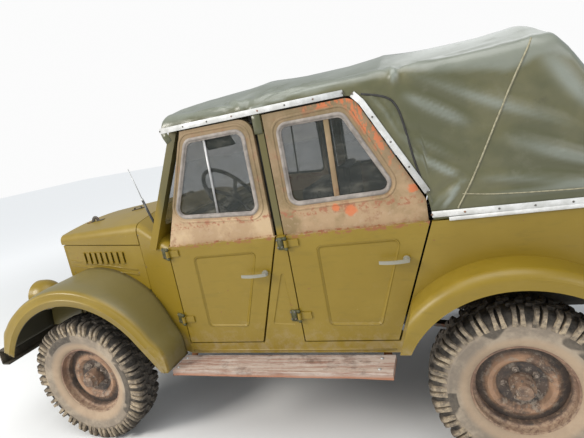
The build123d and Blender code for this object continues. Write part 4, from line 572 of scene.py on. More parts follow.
def sweep(name, path, section, up=(0, 1, 0), closed=False):
    """A solid bar along a path. The section's points are (across, along up)."""
    path = [Vector(point) for point in path]
    count, lift = len(path), Vector(up).normalized()
    points = []
    for number, point in enumerate(path):
        before = path[number - 1] if closed or number else point
        after = path[(number + 1) % count] if closed or number < count - 1 else point
        ahead_in = (point - before).normalized() if point != before else (after - point).normalized()
        ahead_out = (after - point).normalized() if after != point else ahead_in
        ahead = (ahead_in + ahead_out).normalized()
        across = ahead.cross(lift).normalized()
        rise = across.cross(ahead).normalized()
        stretch = min(2.5, 1 / max(0.3, ahead.dot(ahead_in)))
        points += [point + across * (a * stretch) + rise * b for a, b in section]
    width = len(section)
    faces = grid_faces(count, width, closed, True)
    if not closed:
        faces += [tuple(range(width)), tuple(range((count - 1) * width, count * width))]
    return mesh_of(name, points, faces)


def round_section(radius, steps=10, flat=1.0):
    """Points of a circle, flattened along up."""
    angles = [2 * math.pi * i / steps for i in range(steps)]
    return [(radius * math.cos(angle), radius * flat * math.sin(angle)) for angle in angles]


def strip_section(width, thick):
    """A flat bar with softened edges, resting on its path."""
    half, cut = width / 2, thick / 4
    right = [(half, 0), (half, thick - cut), (half - cut, thick)]
    return [(-half, 0)] + right + [(-half + cut, thick), (-half, thick - cut)]


def rounded_loop(corners, radius, steps=7):
    """A closed path in x and z through the corners, each rounded by radius."""
    loop = []
    count = len(corners)
    for number, corner in enumerate(corners):
        here = Vector(corner)
        before = (Vector(corners[number - 1]) - here).normalized()
        after = (Vector(corners[(number + 1) % count]) - here).normalized()
        half = before.angle(after) / 2
        reach = radius / math.tan(half)
        centre = here + (before + after).normalized() * (radius / math.sin(half))
        first, last = here + before * reach - centre, here + after * reach - centre
        sweep_angle = first.angle_signed(last)
        for step in range(steps + 1):
            turned = Matrix.Rotation(-sweep_angle * step / steps, 2) @ first
            loop.append(centre + turned)
    return loop


def catmull(points, steps):
    """A smooth path through the points."""
    points = [Vector(point) for point in points]
    ends = [2 * points[0] - points[1]] + points + [2 * points[-1] - points[-2]]
    path = []
    for number in range(1, len(ends) - 2):
        a, b, c, d = ends[number - 1: number + 3]
        square, cube = 2 * a - 5 * b + 4 * c - d, 3 * b - a - 3 * c + d
        for step in range(steps):
            t = step / steps
            path.append(0.5 * (2 * b + (c - a) * t + square * t * t + cube * t ** 3))
    return path + [points[-1]]


# Geometry Nodes trees
class Recipe:
    """A Geometry Nodes tree with named sizes, which ends in Realize Instances and Set Material."""

    def __init__(self, name, sizes):
        self.tree = bpy.data.node_groups.new(name, "GeometryNodeTree")
        face = self.tree.interface
        face.new_socket("Geometry", in_out="INPUT", socket_type="NodeSocketGeometry")
        self.sockets = {}
        for size, kind in sizes.items():
            self.sockets[size] = face.new_socket(size, in_out="INPUT", socket_type=kind).identifier
        face.new_socket("Geometry", in_out="OUTPUT", socket_type="NodeSocketGeometry")
        self.given = self.tree.nodes.new("NodeGroupInput").outputs

    def add(self, kind, settings=None, values=None):
        return add_node(self.tree, kind, settings, values).outputs[0]

    def close(self, instances):
        """End the tree with real geometry and one material."""
        real = self.add("GeometryNodeRealizeInstances", None, {0: instances})
        self.material = add_node(self.tree, "GeometryNodeSetMaterial", None, {"Geometry": real})
        add_node(self.tree, "NodeGroupOutput", None, {0: self.material.outputs[0]})
        return self

    def grow(self, source, finish, **sizes):
        """The plain mesh that the tree makes from a source mesh."""
        self.material.inputs["Material"].default_value = finish
        holder = link("holder", source)
        modifier = holder.modifiers.new("recipe", "NODES")
        modifier.node_group = self.tree
        for size, value in sizes.items():
            modifier[self.sockets[size]] = value
        return plain_mesh(holder)


def head_row_recipe():
    """Domed screw heads at even spacing along an edge path."""
    sizes = dict.fromkeys(("Spacing", "Radius", "Height"), "NodeSocketFloat")
    recipe = Recipe("head_row", {**sizes, "Facing": "NodeSocketVector"})
    given = recipe.given
    line = recipe.add("GeometryNodeMeshToCurve", None, {"Mesh": given["Geometry"]})
    row = recipe.add(
        "GeometryNodeResampleCurve", {"mode": "LENGTH"}, {"Curve": line, "Length": given["Spacing"]}
    )
    base = recipe.add(
        "GeometryNodeMeshCone", None,
        {"Vertices": 10, "Side Segments": 1, "Radius Top": 0.55, "Radius Bottom": 1.0, "Depth": 1.0},
    )
    size = recipe.add(
        "ShaderNodeCombineXYZ", None, {0: given["Radius"], 1: given["Radius"], 2: given["Height"]}
    )
    facing = recipe.add("FunctionNodeAlignRotationToVector", {"axis": "Z"}, {"Vector": given["Facing"]})
    heads = recipe.add(
        "GeometryNodeInstanceOnPoints", None,
        {"Points": row, "Instance": base, "Rotation": facing, "Scale": size},
    )
    return recipe.close(heads)


def ring_recipe():
    """Copies of the source turned about the Y axis in even steps."""
    recipe = Recipe("ring", {"Count": "NodeSocketInt", "Start": "NodeSocketFloat"})
    given = recipe.given
    points = recipe.add("GeometryNodePoints", None, {"Count": given["Count"]})
    index = recipe.add("GeometryNodeInputIndex")
    share = recipe.add("ShaderNodeMath", {"operation": "DIVIDE"}, {0: index, 1: given["Count"]})
    angle = recipe.add(
        "ShaderNodeMath", {"operation": "MULTIPLY_ADD"}, {0: share, 1: 2 * math.pi, 2: given["Start"]}
    )
    turn = recipe.add("ShaderNodeCombineXYZ", None, {1: angle})
    copies = recipe.add(
        "GeometryNodeInstanceOnPoints", None,
        {"Points": points, "Instance": given["Geometry"], "Rotation": turn},
    )
    return recipe.close(copies)


HEAD_ROW = head_row_recipe()
RING = ring_recipe()


def edge_path(points):
    """A mesh of edges only, for a row to follow."""
    mesh = bpy.data.meshes.new("path")
    mesh.from_pydata([tuple(p) for p in points], [(i, i + 1) for i in range(len(points) - 1)], [])
    return mesh


def heads(points, finish, spacing, radius, height, facing):
    """A row of domed heads along the points."""
    return HEAD_ROW.grow(
        edge_path(points), finish, Spacing=spacing, Radius=radius, Height=height, Facing=facing
    )


# Canvas
# The bows: SHOULDER is (half width, height); EAVES and SIDE_FOOT are (height, half width)
CROWN_Z, SHOULDER = 1.880, (0.610, 1.778)
EAVES, SIDE_FOOT = (1.712, 0.690), (1.066, 0.709)
HEM_Z, DOOR_HEM_Z = 1.126, 1.692
CLOTH_THICK = 0.0016
TOP_LINE = (
    (0.475, 1.712), (0.465, 1.772), (0.425, 1.812), (0.325, 1.847), (0.155, 1.872), (-0.005, 1.880),
    (-0.595, 1.880), (-1.135, 1.868), (-1.185, 1.838), (-1.272, 1.728), (-1.350, 1.590), (-1.9055, 1.151),
)
DOOR_BEND = Vector((-0.479, 1.692))
BEND_ENDS = (Vector((-0.437, 1.692)), Vector((-0.499, 1.655)))
DOOR_CUT = [
    tuple((1 - t) ** 2 * BEND_ENDS[0] + 2 * t * (1 - t) * DOOR_BEND + t * t * BEND_ENDS[1])
    for t in (0, 0.25, 0.5, 0.75, 1)
] + [(-0.729, 1.224), (-0.731, HEM_Z)]
ARC_R = (SHOULDER[0] ** 2 + (CROWN_Z - SHOULDER[1]) ** 2) / (2 * (CROWN_Z - SHOULDER[1]))


def between(place, start, end):
    """Half width at a place on the line between two (place, half width) points."""
    return start[1] + (place - start[0]) / (end[0] - start[0]) * (end[1] - start[1])


def side_half(z):
    """Half width of the canvas side at a height up to the eaves."""
    return between(z, SIDE_FOOT, EAVES)


def crown_height(y):
    """Height of the bows' tops, an arc across the car."""
    return CROWN_Z - ARC_R + np.sqrt(ARC_R ** 2 - np.asarray(y) ** 2)


def lower_of(a, b, blend):
    """The smaller of two heights, with a rounded change between them."""
    mixed = np.clip(0.5 + 0.5 * (b - a) / blend, 0, 1)
    return b + (a - b) * mixed - blend * mixed * (1 - mixed)


def along(line, count):
    """Points at even distances along a line of (x, z) points."""
    line = np.array(line)
    reach = np.concatenate(([0], np.cumsum(np.hypot(*np.diff(line, axis=0).T))))
    steps = np.linspace(0, reach[-1], count)
    return np.interp(steps, reach, line[:, 0]), np.interp(steps, reach, line[:, 1])


SIDE_COLUMNS, CORNER_COLUMNS, TOP_COLUMNS, STATIONS = 44, 9, 34, 210
CORNER_WIDTH, CAMBER = 0.082, 0.012


def canvas_grid():
    """The smooth form of the canvas, hem to hem, station by station."""
    xs, tops = along(TOP_LINE, STATIONS)
    cut_x = [point[0] for point in DOOR_CUT][::-1]
    cut_z = [point[1] for point in DOOR_CUT][::-1]
    hems = np.where(xs > DOOR_CUT[0][0], DOOR_HEM_Z, np.interp(xs, cut_x, cut_z))
    rows = []
    for x, top, hem in zip(xs, tops, hems):
        corner_z = max(hem + 0.004, min(EAVES[0] - 0.010, top - 0.075))
        hem = min(hem, corner_z - 0.003)
        corner_y = side_half(corner_z)
        inner_y = corner_y - CORNER_WIDTH

        def roof(y):
            level = top - CAMBER * (np.asarray(y) / SHOULDER[0]) ** 2
            return lower_of(crown_height(y), level, 0.018)

        zs = np.linspace(hem, corner_z, SIDE_COLUMNS)
        side = np.stack([side_half(zs), zs], 1)
        end = np.array([inner_y, float(roof(inner_y))])
        start, bend = side[-1], np.array([corner_y - 0.003, end[1] - 0.004])
        t = np.linspace(0, 1, CORNER_COLUMNS + 1)[1:, None]
        corner = (1 - t) ** 2 * start + 2 * t * (1 - t) * bend + t * t * end
        ys = np.linspace(inner_y, 0, TOP_COLUMNS + 1)[1:]
        crown = np.stack([ys, roof(ys)], 1)
        half = np.concatenate([side, corner, crown])
        row = np.concatenate([half, half[-2::-1] * (-1, 1)])
        rows.append(np.column_stack([np.full(len(row), x), row]))
    return np.array(rows)


# Folds of the canvas: x and height over FOLD_ZERO_Z measured round the cloth, rise, width
FOLD_ZERO_Z = 1.7
FOLDS = (
    (((-0.675, -0.044), (-0.914, -0.206)), 0.011, 0.026),
    (
        ((-0.657, 0.060), (-0.872, -0.070), (-1.046, -0.161), (-1.213, -0.248), (-1.301, -0.312)),
        0.008, 0.030,
    ),
    (((-0.684, -0.218), (-0.856, -0.337)), 0.007, 0.020),
    (((-0.699, -0.294), (-0.876, -0.419)), 0.010, 0.020),
    (((-0.926, -0.420), (-1.286, -0.486), (-1.62, -0.520)), 0.010, 0.026),
    (((-1.035, -0.277), (-1.292, -0.405), (-1.50, -0.49)), 0.010, 0.034),
    (((-1.145, 0.06), (-1.316, -0.208), (-1.40, -0.30)), 0.008, 0.040),
    (((-0.744, -0.519), (-0.800, -0.470), (-0.864, -0.427)), 0.012, 0.014),
    (((-0.775, -0.530), (-0.845, -0.455)), 0.010, 0.012),
    (((-0.917, -0.495), (-1.283, -0.502)), 0.006, 0.018),
    (((-0.02, 0.012), (-0.23, 0.10), (-0.48, 0.13)), 0.013, 0.012),
    (((-0.02, 0.020), (-0.16, 0.15), (-0.36, 0.24)), 0.012, 0.015),
    (((-0.02, 0.012), (-0.28, 0.055), (-0.52, 0.06)), 0.011, 0.011),
    (((-0.015, 0.020), (-0.07, 0.16), (-0.13, 0.29)), 0.011, 0.014),
    (((0.0, 0.012), (0.13, 0.055), (0.27, 0.075)), 0.010, 0.012),
    (((0.01, 0.014), (0.08, 0.10), (0.17, 0.17)), 0.010, 0.013),
    (((-0.615, 0.02), (-0.80, 0.13), (-1.02, 0.20)), 0.007, 0.020),
    (((-0.60, -0.03), (-0.645, -0.15), (-0.70, -0.31)), 0.007, 0.012),
    (((-0.53, 0.00), (-0.60, -0.10), (-0.655, -0.23)), 0.006, 0.010),
    (((-1.18, 0.11), (-1.30, -0.06), (-1.52, -0.27), (-1.74, -0.45)), 0.006, 0.05),
    (((-1.45, -0.31), (-1.62, -0.40), (-1.80, -0.50)), 0.006, 0.028),
    (((-0.640, 0.115), (-0.652, 0.055), (-0.655, -0.015)), 0.012, 0.014),
)
BOW_XS = (0.45, 0.006, -0.584, -1.154)
# Lower edge of the paler top: heights of the cloth along the car
PALE_TOP_LINE = (
    (-1.905, -1.350, -1.272, -1.150, -1.051, -0.861, -0.663, -0.455, 0.475),
    (1.080, 1.525, 1.655, 1.672, 1.652, 1.691, 1.741, 1.722, 1.716),
)


# Sag between bows and of the back, ridge over the last bow, and the most that the cloth moves
SAG, BACK_SAG, RIDGE, REACH = 0.016, 0.010, 0.003, 0.014


def fold_height(x, around, shift, gain):
    """Height of every fold at points given by x and the way round the cloth."""
    height = np.zeros_like(x)
    for line, rise, width in FOLDS:
        line = np.array(line) + (shift, 0)
        total = np.hypot(*np.diff(line, axis=0).T).sum()
        nearest, travelled, ran = np.full(x.shape, 9.0), np.zeros(x.shape), 0.0
        for start, end in zip(line[:-1], line[1:]):
            run = end - start
            length = np.hypot(*run)
            t = np.clip(((x - start[0]) * run[0] + (around - start[1]) * run[1]) / length ** 2, 0, 1)
            gap_x, gap_a = x - start[0] - t * run[0], around - start[1] - t * run[1]
            side = np.sign(run[0] * gap_a - run[1] * gap_x)
            away = np.hypot(gap_x, gap_a) * side
            closer = np.abs(away) < np.abs(nearest)
            nearest = np.where(closer, away, nearest)
            travelled = np.where(closer, ran + t * length, travelled)
            ran += length
        share = np.clip(travelled / total, 0, 1)
        taper = np.clip(np.sin(np.pi * (0.06 + 0.88 * share)), 0, 1) ** 0.7
        valley = (nearest + 1.5 * width) / (1.1 * width)
        ridge = np.exp(-(nearest / width) ** 2) - 0.7 * np.exp(-valley ** 2)
        height += gain * rise * taper * ridge
    return height


def ripples(x, a, seed, count, low, high):
    """Slow uneven waves of unit height."""
    draw = np.random.RandomState(seed)
    total = np.zeros_like(x)
    for _ in range(count):
        pitch, turn, phase = draw.uniform(low, high), draw.uniform(0, np.pi), draw.uniform(0, 6.28)
        total += np.sin(2 * np.pi * (x * np.cos(turn) + a * np.sin(turn)) / pitch + phase)
    return total / count


def make_canvas():
    """The canvas: one sheet over the bows, sagging between them, creased where it is pulled."""
    grid = canvas_grid()
    rows, columns, _ = grid.shape
    middle = columns // 2
    step = np.linalg.norm(np.diff(grid, axis=1), axis=2)
    around = np.zeros((rows, columns))
    around[:, 1:] = np.cumsum(step, axis=1)
    hem = (grid[:, 0, 2] - FOLD_ZERO_Z)[:, None]
    from_left = around + hem
    from_right = around[:, -1:] - around + hem
    x, y, z = grid[..., 0], grid[..., 1], grid[..., 2]
    left = y >= 0
    up = np.where(left, from_left, from_right)
    folds = fold_height(x, from_left, 0, 1.0), fold_height(x, from_right, 0.03, 0.85)
    height = np.where(left, *folds)
    paler_top = z - np.interp(x, *PALE_TOP_LINE) + 0.012 * ripples(x, up, 3, 6, 0.10, 0.35)
    paler_top = np.clip(paler_top / 0.028, 0, 1)
    # Painted highlight: the fold ridges are painted pale; the top above its lower edge is paler too
    worn = np.maximum(paler_top * 0.7, np.clip(height / 0.0075, 0, 1) ** 2.2 * 0.85)
    bays = np.zeros_like(x)
    for ahead, behind in zip(BOW_XS, BOW_XS[1:]):
        t = np.clip((ahead - x) / (ahead - behind), 0, 1)
        bays = np.where((x < ahead) & (x > behind), np.sin(np.pi * t) ** 0.8, bays)
    overhead = np.clip((up - 0.03) / 0.12, 0, 1)
    height -= SAG * bays * overhead
    slope = (x < BOW_XS[-1]) & (up > 0)
    height -= BACK_SAG * slope * np.sin(np.pi * np.clip((x + 1.9) / 0.72, 0, 1)) * np.cos(y * 2)
    height += RIDGE * np.exp(-((x - BOW_XS[-1]) / 0.02) ** 2) * overhead
    height += 0.0030 * ripples(x, up, 5, 7, 0.22, 0.6) + 0.0010 * ripples(x, up, 9, 9, 0.07, 0.16)
    hem_gap = np.minimum(up - hem, 1)
    free = np.clip(hem_gap / 0.05, 0, 1) * np.clip((x - TOP_LINE[-1][0]) / 0.05, 0, 1)
    free *= np.clip((TOP_LINE[0][0] - x) / 0.04, 0, 1)
    puckers = 0.0022 * np.sin(2 * np.pi * x / 0.125) * np.exp(-hem_gap / 0.05)
    across = np.gradient(grid, axis=1)
    forward = np.gradient(grid, axis=0)
    normal = np.cross(across, forward)
    normal /= np.maximum(np.linalg.norm(normal, axis=2, keepdims=True), 1e-9)
    if normal[rows // 3, middle, 2] < 0:
        normal = -normal
    height = np.clip(height, -REACH, REACH) * free + puckers * np.clip(hem_gap / 0.02, 0, 1)
    shaped = grid + normal * (height - CLOTH_THICK - 0.0008)[..., None]
    diagonals = grid[1:, 1:] - grid[:-1, :-1], grid[1:, :-1] - grid[:-1, 1:]
    flat_area = float(np.linalg.norm(np.cross(*diagonals), axis=2).sum() / 2)
    faces = grid_faces(rows, columns)
    mesh = mesh_of("canvas_sheet", shaped.reshape(-1, 3).tolist(), faces, outward=False)
    if mesh.polygons[len(mesh.polygons) // 2].normal.z < 0:
        mesh.flip_normals()
    mesh.attributes.new("worn", "FLOAT", "POINT").data.foreach_set("value", worn.ravel())
    piece = put("canvas_sheet", mesh, CLOTH)
    wall = piece.modifiers.new("cloth", "SOLIDIFY")
    wall.thickness = CLOTH_THICK
    wall.offset = -1
    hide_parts("canvas_top")
    return piece, flat_area, shaped


def canvas_out(x, z, sign=1):
    """A point on the canvas side, just proud of it."""
    return Vector((x, sign * (side_half(z) + 0.0005), z))


canvas, canvas_area, CANVAS_POINTS = make_canvas()


def on_canvas(x, z, lift, sign):
    """The sheet's own surface nearest a side point, moved out by lift."""
    columns = SIDE_COLUMNS + CORNER_COLUMNS
    half = CANVAS_POINTS[:, :columns] if sign > 0 else CANVAS_POINTS[:, -columns:]
    flat = half.reshape(-1, 3)
    near = np.argsort((flat[:, 0] - x) ** 2 + (flat[:, 2] - z) ** 2)[:4]
    return Vector((x, float(flat[near, 1].mean()) + sign * lift, z))


# Lines on the canvas side as (x, z) points
SEAM_LINE = ((-1.149, 1.760), (-1.07, 1.615), (-0.99, 1.452), (-0.91, 1.290), (-0.838, 1.165))
HEM_LINE = ((-0.86, 1.222), (-1.00, 1.205), (-1.25, 1.192), (-1.55, 1.190))
EDGE_LINE = (
    (-0.513, 1.685), (-0.607, 1.654), (-0.649, 1.606), (-0.672, 1.505), (-0.695, 1.365), (-0.722, 1.250),
)
STRIP_LINES = (
    ((0.470, 1.699), (0.20, 1.701), (-0.15, 1.703), (-0.440, 1.703)),
    ((-0.478, 1.692), (-0.512, 1.652), (-0.612, 1.464), (-0.728, 1.247)),
    ((-0.735, 1.150), (-1.05, 1.146), (-1.45, 1.142), (-1.880, 1.140)),
)
STRIP_THICK = 0.0035
STRIP = strip_section(0.026, STRIP_THICK)
REAR_STRIP_X, REAR_STRIP_Z = -1.9075, 1.142


def cord(line, lift, section, sign):
    """A thin raised line on the canvas side, smooth through its points."""
    path = [on_canvas(p.x, p.y, lift, sign) for p in catmull([(x, z, 0) for x, z in line], 8)]
    return sweep("cord", path, section, (0, sign, 0))


def strip_screws(points, spacing, facing):
    """Screws of a pale strip."""
    return heads(points, STEEL, spacing, 0.0045, 0.0025, facing)


def canvas_trimmings():
    """Piping, stitched edge, pale strips with their screws, and the corner flaps."""
    seams, stitched, strips, screws, flaps = [], [], [], [], []
    for _, sign in SIDES:
        lift = (0, sign, 0)
        seams.append(cord(SEAM_LINE, 0.0015, round_section(0.0035, 8), sign))
        seams.append(cord(HEM_LINE, 0.001, round_section(0.0025, 6), sign))
        stitched.append(cord(EDGE_LINE, 0.001, round_section(0.0045, 8, 0.6), sign))
        for line in STRIP_LINES:
            path = [canvas_out(x, z, sign) for x, z in line]
            strips.append(sweep("strip", path, STRIP, lift))
            raised = [point + Vector((0, sign * STRIP_THICK, 0)) for point in path]
            screws.append(strip_screws(raised, 0.125, lift))
        ledge = [(x, sign * 0.7075, 1.1255) for x in (-0.80, -1.30, -1.872)]
        strips.append(sweep("ledge", ledge, strip_section(0.016, 0.007), lift))
        post = [(-0.034, sign * 0.6868, z) for z in (1.700, 1.668, 1.634, 1.602)]
        flaps.append(sweep("post_flap", post, strip_section(0.040, 0.003), lift))
        corner = [(0.455, sign * 0.690, 1.700), (0.447, sign * 0.690, 1.668), (0.432, sign * 0.691, 1.640)]
        flaps.append(sweep("corner_flap", corner, strip_section(0.034, 0.003), lift))
    rear = [(REAR_STRIP_X, y, REAR_STRIP_Z) for y in np.linspace(-0.69, 0.69, 9)]
    strips.append(sweep("rear_strip", rear, STRIP, (-1, 0, 0)))
    raised = [(REAR_STRIP_X - STRIP_THICK, y, REAR_STRIP_Z) for y in (-0.66, 0, 0.66)]
    screws.append(strip_screws(raised, 0.165, (-1, 0, 0)))
    pieces = [
        put("canvas_piping", join("piping", seams), THREAD),
        put("canvas_edge_binding", join("binding", stitched), SEAL),
        put("canvas_flaps", join("flaps", flaps), CLOTH),
    ]
    put("canvas_strips", join("strips", strips), TRIM)
    put("canvas_strip_screws", join("screws", screws), STEEL)
    return pieces


piping = canvas_trimmings()


# Windows of the doors and the windscreen
DOOR_WINDOWS = {
    "front": (((1519, 1262), (1369, 1638), (1058, 1638), (1058, 1235)), ((1268, 1638), (1279, 1249))),
    "rear": (((895, 1256), (895, 1628), (590, 1628), (405, 1262)), ((667, 1628), (673, 1259))),
}
FRAME_FACE_Y = 0.685


def window_fittings():
    """Rubber bead, pressed border and divider of each door window."""
    for place, (corners, divider) in DOOR_WINDOWS.items():
        outline = [Vector((at(x), z / 1000)) for x, z in corners]
        middle = sum(outline, Vector((0, 0))) / len(outline)
        for side, sign in SIDES:
            body = f"door_{place}_{side}"

            def ring(grow, radius, y, section):
                spread = [c + (c - middle).normalized() * grow for c in outline]
                path = [(p.x, sign * y, p.y) for p in rounded_loop(spread, radius)]
                return sweep("ring", path, section, (0, sign, 0), True)

            bead = ring(-0.004, 0.044, FRAME_FACE_Y, round_section(0.0085, 10, 0.75))
            inner = ring(-0.016, 0.036, FRAME_FACE_Y - 0.004, round_section(0.0055, 8, 0.9))
            border = ring(0.034, 0.066, FRAME_FACE_Y, round_section(0.0065, 8, 0.45))
            put(f"window_bead_{place}_{side}", join("beads", [bead, inner]), BEAD, body)
            put(f"window_border_{place}_{side}", border, DOOR_PAINT, body)
            path = [(at(x), sign * 0.6765, z / 1000) for x, z in divider]
            width, finish = (0.024, DOOR_PAINT) if place == "rear" else (0.012, GALVANISED)
            bar = sweep("bar", path, strip_section(width, 0.006), (0, sign, 0))
            put(f"window_divider_{place}_{side}", bar, finish, body)


window_fittings()


PRESSINGS = {
    "front": ((0.447, 1.058), (0.447, 0.668), (0.215, 0.662), (0.089, 1.058)),
    "rear": ((-0.211, 1.060), (-0.211, 0.658), (-0.464, 0.652), (-0.600, 1.060)),
}
PANEL_Y = 0.705
# Section of a pressing's slope: inset from the outline, corner radius, height over the door's face
PRESS_SLOPE = (
    (0.004, 0.029, 0.0001), (0.001, 0.026, -0.0001), (0.0065, 0.021, -0.0021),
    (0.013, 0.015, -0.0039), (0.013, 0.015, -0.0060), (0.004, 0.029, -0.0060),
)


def pressing_slopes():
    """Soft slopes from each door's face down to the floor of its pressed panel."""
    for place, corners in PRESSINGS.items():
        outline = [Vector(corner) for corner in corners]
        middle = sum(outline, Vector((0, 0))) / 4
        for side, sign in SIDES:
            points = []
            for inset, radius, y in PRESS_SLOPE:
                inner = []
                for corner in outline:
                    inwards = [math.copysign(inset, step) for step in middle - corner]
                    inner.append(corner + Vector(inwards))
                points += [(p.x, sign * (PANEL_Y + y), p.y) for p in rounded_loop(inner, radius, 9)]
            rows = len(PRESS_SLOPE)
            slope = mesh_of("slope", points, grid_faces(rows, len(points) // rows, True, True))
            put(f"door_pressing_{place}_{side}", slope, DOOR_PAINT, f"door_{place}_{side}")


pressing_slopes()


# Tyres
TYRE_Y = 0.720
TYRE_PROFILE = (
    (0.064, 0.2065), (0.071, 0.213), (0.0765, 0.226), (0.083, 0.246), (0.0872, 0.272),
    (0.0882, 0.290), (0.0897, 0.2935), (0.0897, 0.2975), (0.0870, 0.3005), (0.0840, 0.3080),
    (0.0790, 0.320), (0.0745, 0.335), (0.0690, 0.350), (0.0630, 0.3580), (0.052, 0.3622),
    (0.0352, 0.3650), (0.012, 0.3665),
)
AXLES = {"front": REAR_AXLE_X + WHEELBASE, "rear": REAR_AXLE_X}
SHOULDER_LUGS, TREAD_LUGS = 28, 32
LUG_LOW, LUG_TOP, LUG_WIDTH, LUG_SLANT = 0.362, 0.3785, 0.034, 0.012
# Radius, depth, circle's radius, y, count and first angle of the wheel nuts and the hub's bolts
WHEEL_NUTS = ((0.0145, 0.014, 0.06985, 0.7185, 5, 0.3), (0.0055, 0.005, 0.0425, 0.7755, 6, 0.1))


def lug(y_in, y_out):
    """A slanted tread block between two distances from the tyre's middle, smaller at its top."""
    points = []
    for radius, shrink in ((LUG_LOW, 0), (LUG_TOP, 0.0018)):
        half = LUG_WIDTH / 2 - shrink
        points += [
            (-half, y_in + shrink, radius), (half, y_in + shrink, radius),
            (half + LUG_SLANT, y_out - shrink, radius), (LUG_SLANT - half, y_out - shrink, radius),
        ]
    faces = grid_faces(2, 4, False, True) + [(0, 1, 2, 3), (4, 5, 6, 7)]
    return mesh_of("lug", points, faces, smooth=False)


def shoulder_ribs():
    """Two close radial ribs at one shoulder, from the side wall up to the tread."""
    ribs = []
    for offset in (-0.0140, 0.0140):
        stations = (
            (0.0780, 0.3020, 0.0860, 0.3010, 0.0125), (0.0720, 0.3250, 0.0897, 0.3260, 0.0098),
            (0.0640, 0.3480, 0.0888, 0.3590, 0.0080), (0.0540, 0.3580, 0.0800, 0.3735, 0.0085),
            (0.0380, 0.3620, 0.0560, 0.3785, 0.0110), (0.0330, 0.3640, 0.0350, 0.3785, 0.0105),
        )
        points = []
        for y_low, r_low, y_high, r_high, half in stations:
            points += [
                (offset - half, y_low, r_low), (offset + half, y_low, r_low),
                (offset + half - 0.0015, y_high, r_high), (offset - half + 0.0015, y_high, r_high),
            ]
        faces = grid_faces(len(stations), 4, False, True)
        faces += [tuple(range(4)), tuple(range(len(points) - 4, len(points)))]
        ribs.append(mesh_of("rib", points, faces, smooth=False))
    return join("ribs", ribs)


def tyre_mesh(sign, axle_x):
    """A dusty cross-country tyre: turned carcass, shoulder ribs and offset centre blocks."""
    turns = 96
    profile = list(TYRE_PROFILE) + [(-y, r) for y, r in reversed(TYRE_PROFILE)]
    points = []
    for turn in range(turns):
        angle = 2 * math.pi * turn / turns
        points += [(r * math.sin(angle), y, r * math.cos(angle)) for y, r in profile]
    carcass = mesh_of("carcass", points, grid_faces(turns, len(profile), True, True))
    outer, inner = (
        RING.grow(shoulder_ribs(), RIB, Count=SHOULDER_LUGS, Start=start)
        for start in (0.0, math.pi / SHOULDER_LUGS)
    )
    centre = [lug(0.003, 0.029), lug(-0.030, -0.002)]
    centre[1].transform(Matrix.Rotation(math.pi / TREAD_LUGS, 4, "Y"))
    blocks = RING.grow(join("blocks", centre), RIB, Count=TREAD_LUGS, Start=0.03)
    ribs = join("ribs", [outer, mirrored(inner), blocks])
    for mesh in (carcass, ribs):
        mesh.transform(Matrix.Translation((axle_x, sign * TYRE_Y, TYRE_R)))
    return carcass, ribs


def hexagon(radius, depth):
    """A nut seen along Y, with its outer edge chamfered and a bolt end in it."""
    rings = [(1, 0), (1, 0.78), (0.86, 1), (0.52, 1), (0.5, 1.35), (0.3, 1.45)]
    points = []
    for share, rise in rings:
        points += [(x, depth * rise, z) for x, z in round_section(radius * share, 6)]
    faces = grid_faces(len(rings), 6, False, True)
    faces += [tuple(range(6)), tuple(range(len(points) - 6, len(points)))]
    return mesh_of("nut", points, faces, smooth=False)


def wheel_nuts(sign, axle_x):
    """The nuts of one wheel and the small bolts of its hub."""
    rows = []
    for radius, depth, circle, y, count, start in WHEEL_NUTS:
        nut = hexagon(radius, depth)
        nut.transform(Matrix.Translation((0, y, circle)))
        rows.append(RING.grow(nut, NUT, Count=count, Start=start))
    nuts = join("nuts", rows) if sign > 0 else mirrored(join("nuts", rows))
    nuts.transform(Matrix.Translation((axle_x, 0, TYRE_R)))
    return nuts


for place, axle_x in AXLES.items():
    for side, sign in SIDES:
        body = f"wheel_{place}_{side}"
        carcass, ribs = tyre_mesh(sign, axle_x)
        tyre = put(f"carcass_{place}_{side}", carcass, TYRE, body)
        put(f"tread_{place}_{side}", ribs, RIB, body)
        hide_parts(f"tyre_{place}_{side}")
        put(f"wheel_nuts_{place}_{side}", wheel_nuts(sign, axle_x), NUT, body)


# Running boards: two old planks on their brackets
BOARD_X, BOARD_LOW, BOARD_TOP = (-0.501, 0.637), 0.467, 0.4965
DROOP_ROWS = 12


def plank(y_in, y_out, seed, sign, droop):
    """One plank with worn edges, whose outer edge droops at the rear end."""
    draw = np.random.RandomState(seed)
    rows = 90
    section = [(0, 0), (1, 0), (1, 0.86), (0.965, 1), (0.62, 1), (0.3, 1), (0.035, 1), (0, 0.86)]
    count = len(section)
    points = []
    worn_in = np.cumsum(draw.normal(0, 0.0004, rows))
    worn_out = np.cumsum(draw.normal(0, 0.0005, rows))
    for row in range(rows):
        x = BOARD_X[0] + (BOARD_X[1] - BOARD_X[0]) * row / (rows - 1)
        drop = droop * max(0, 1 - row / DROOP_ROWS)
        for across, rise in section:
            y = y_in + (y_out - y_in) * across
            y += worn_in[row] * (1 - across) * 0.6 - abs(worn_out[row]) * across
            dent = 0.0016 * draw.rand() if rise > 0.9 else 0
            z = BOARD_LOW + (BOARD_TOP - BOARD_LOW) * rise - dent - drop * (across > 0.9)
            points.append((x, sign * y, z))
    faces = grid_faces(rows, count, False, True)
    faces += [tuple(range(count)), tuple(range((rows - 1) * count, rows * count))]
    return mesh_of("plank", points, faces, smooth=False)


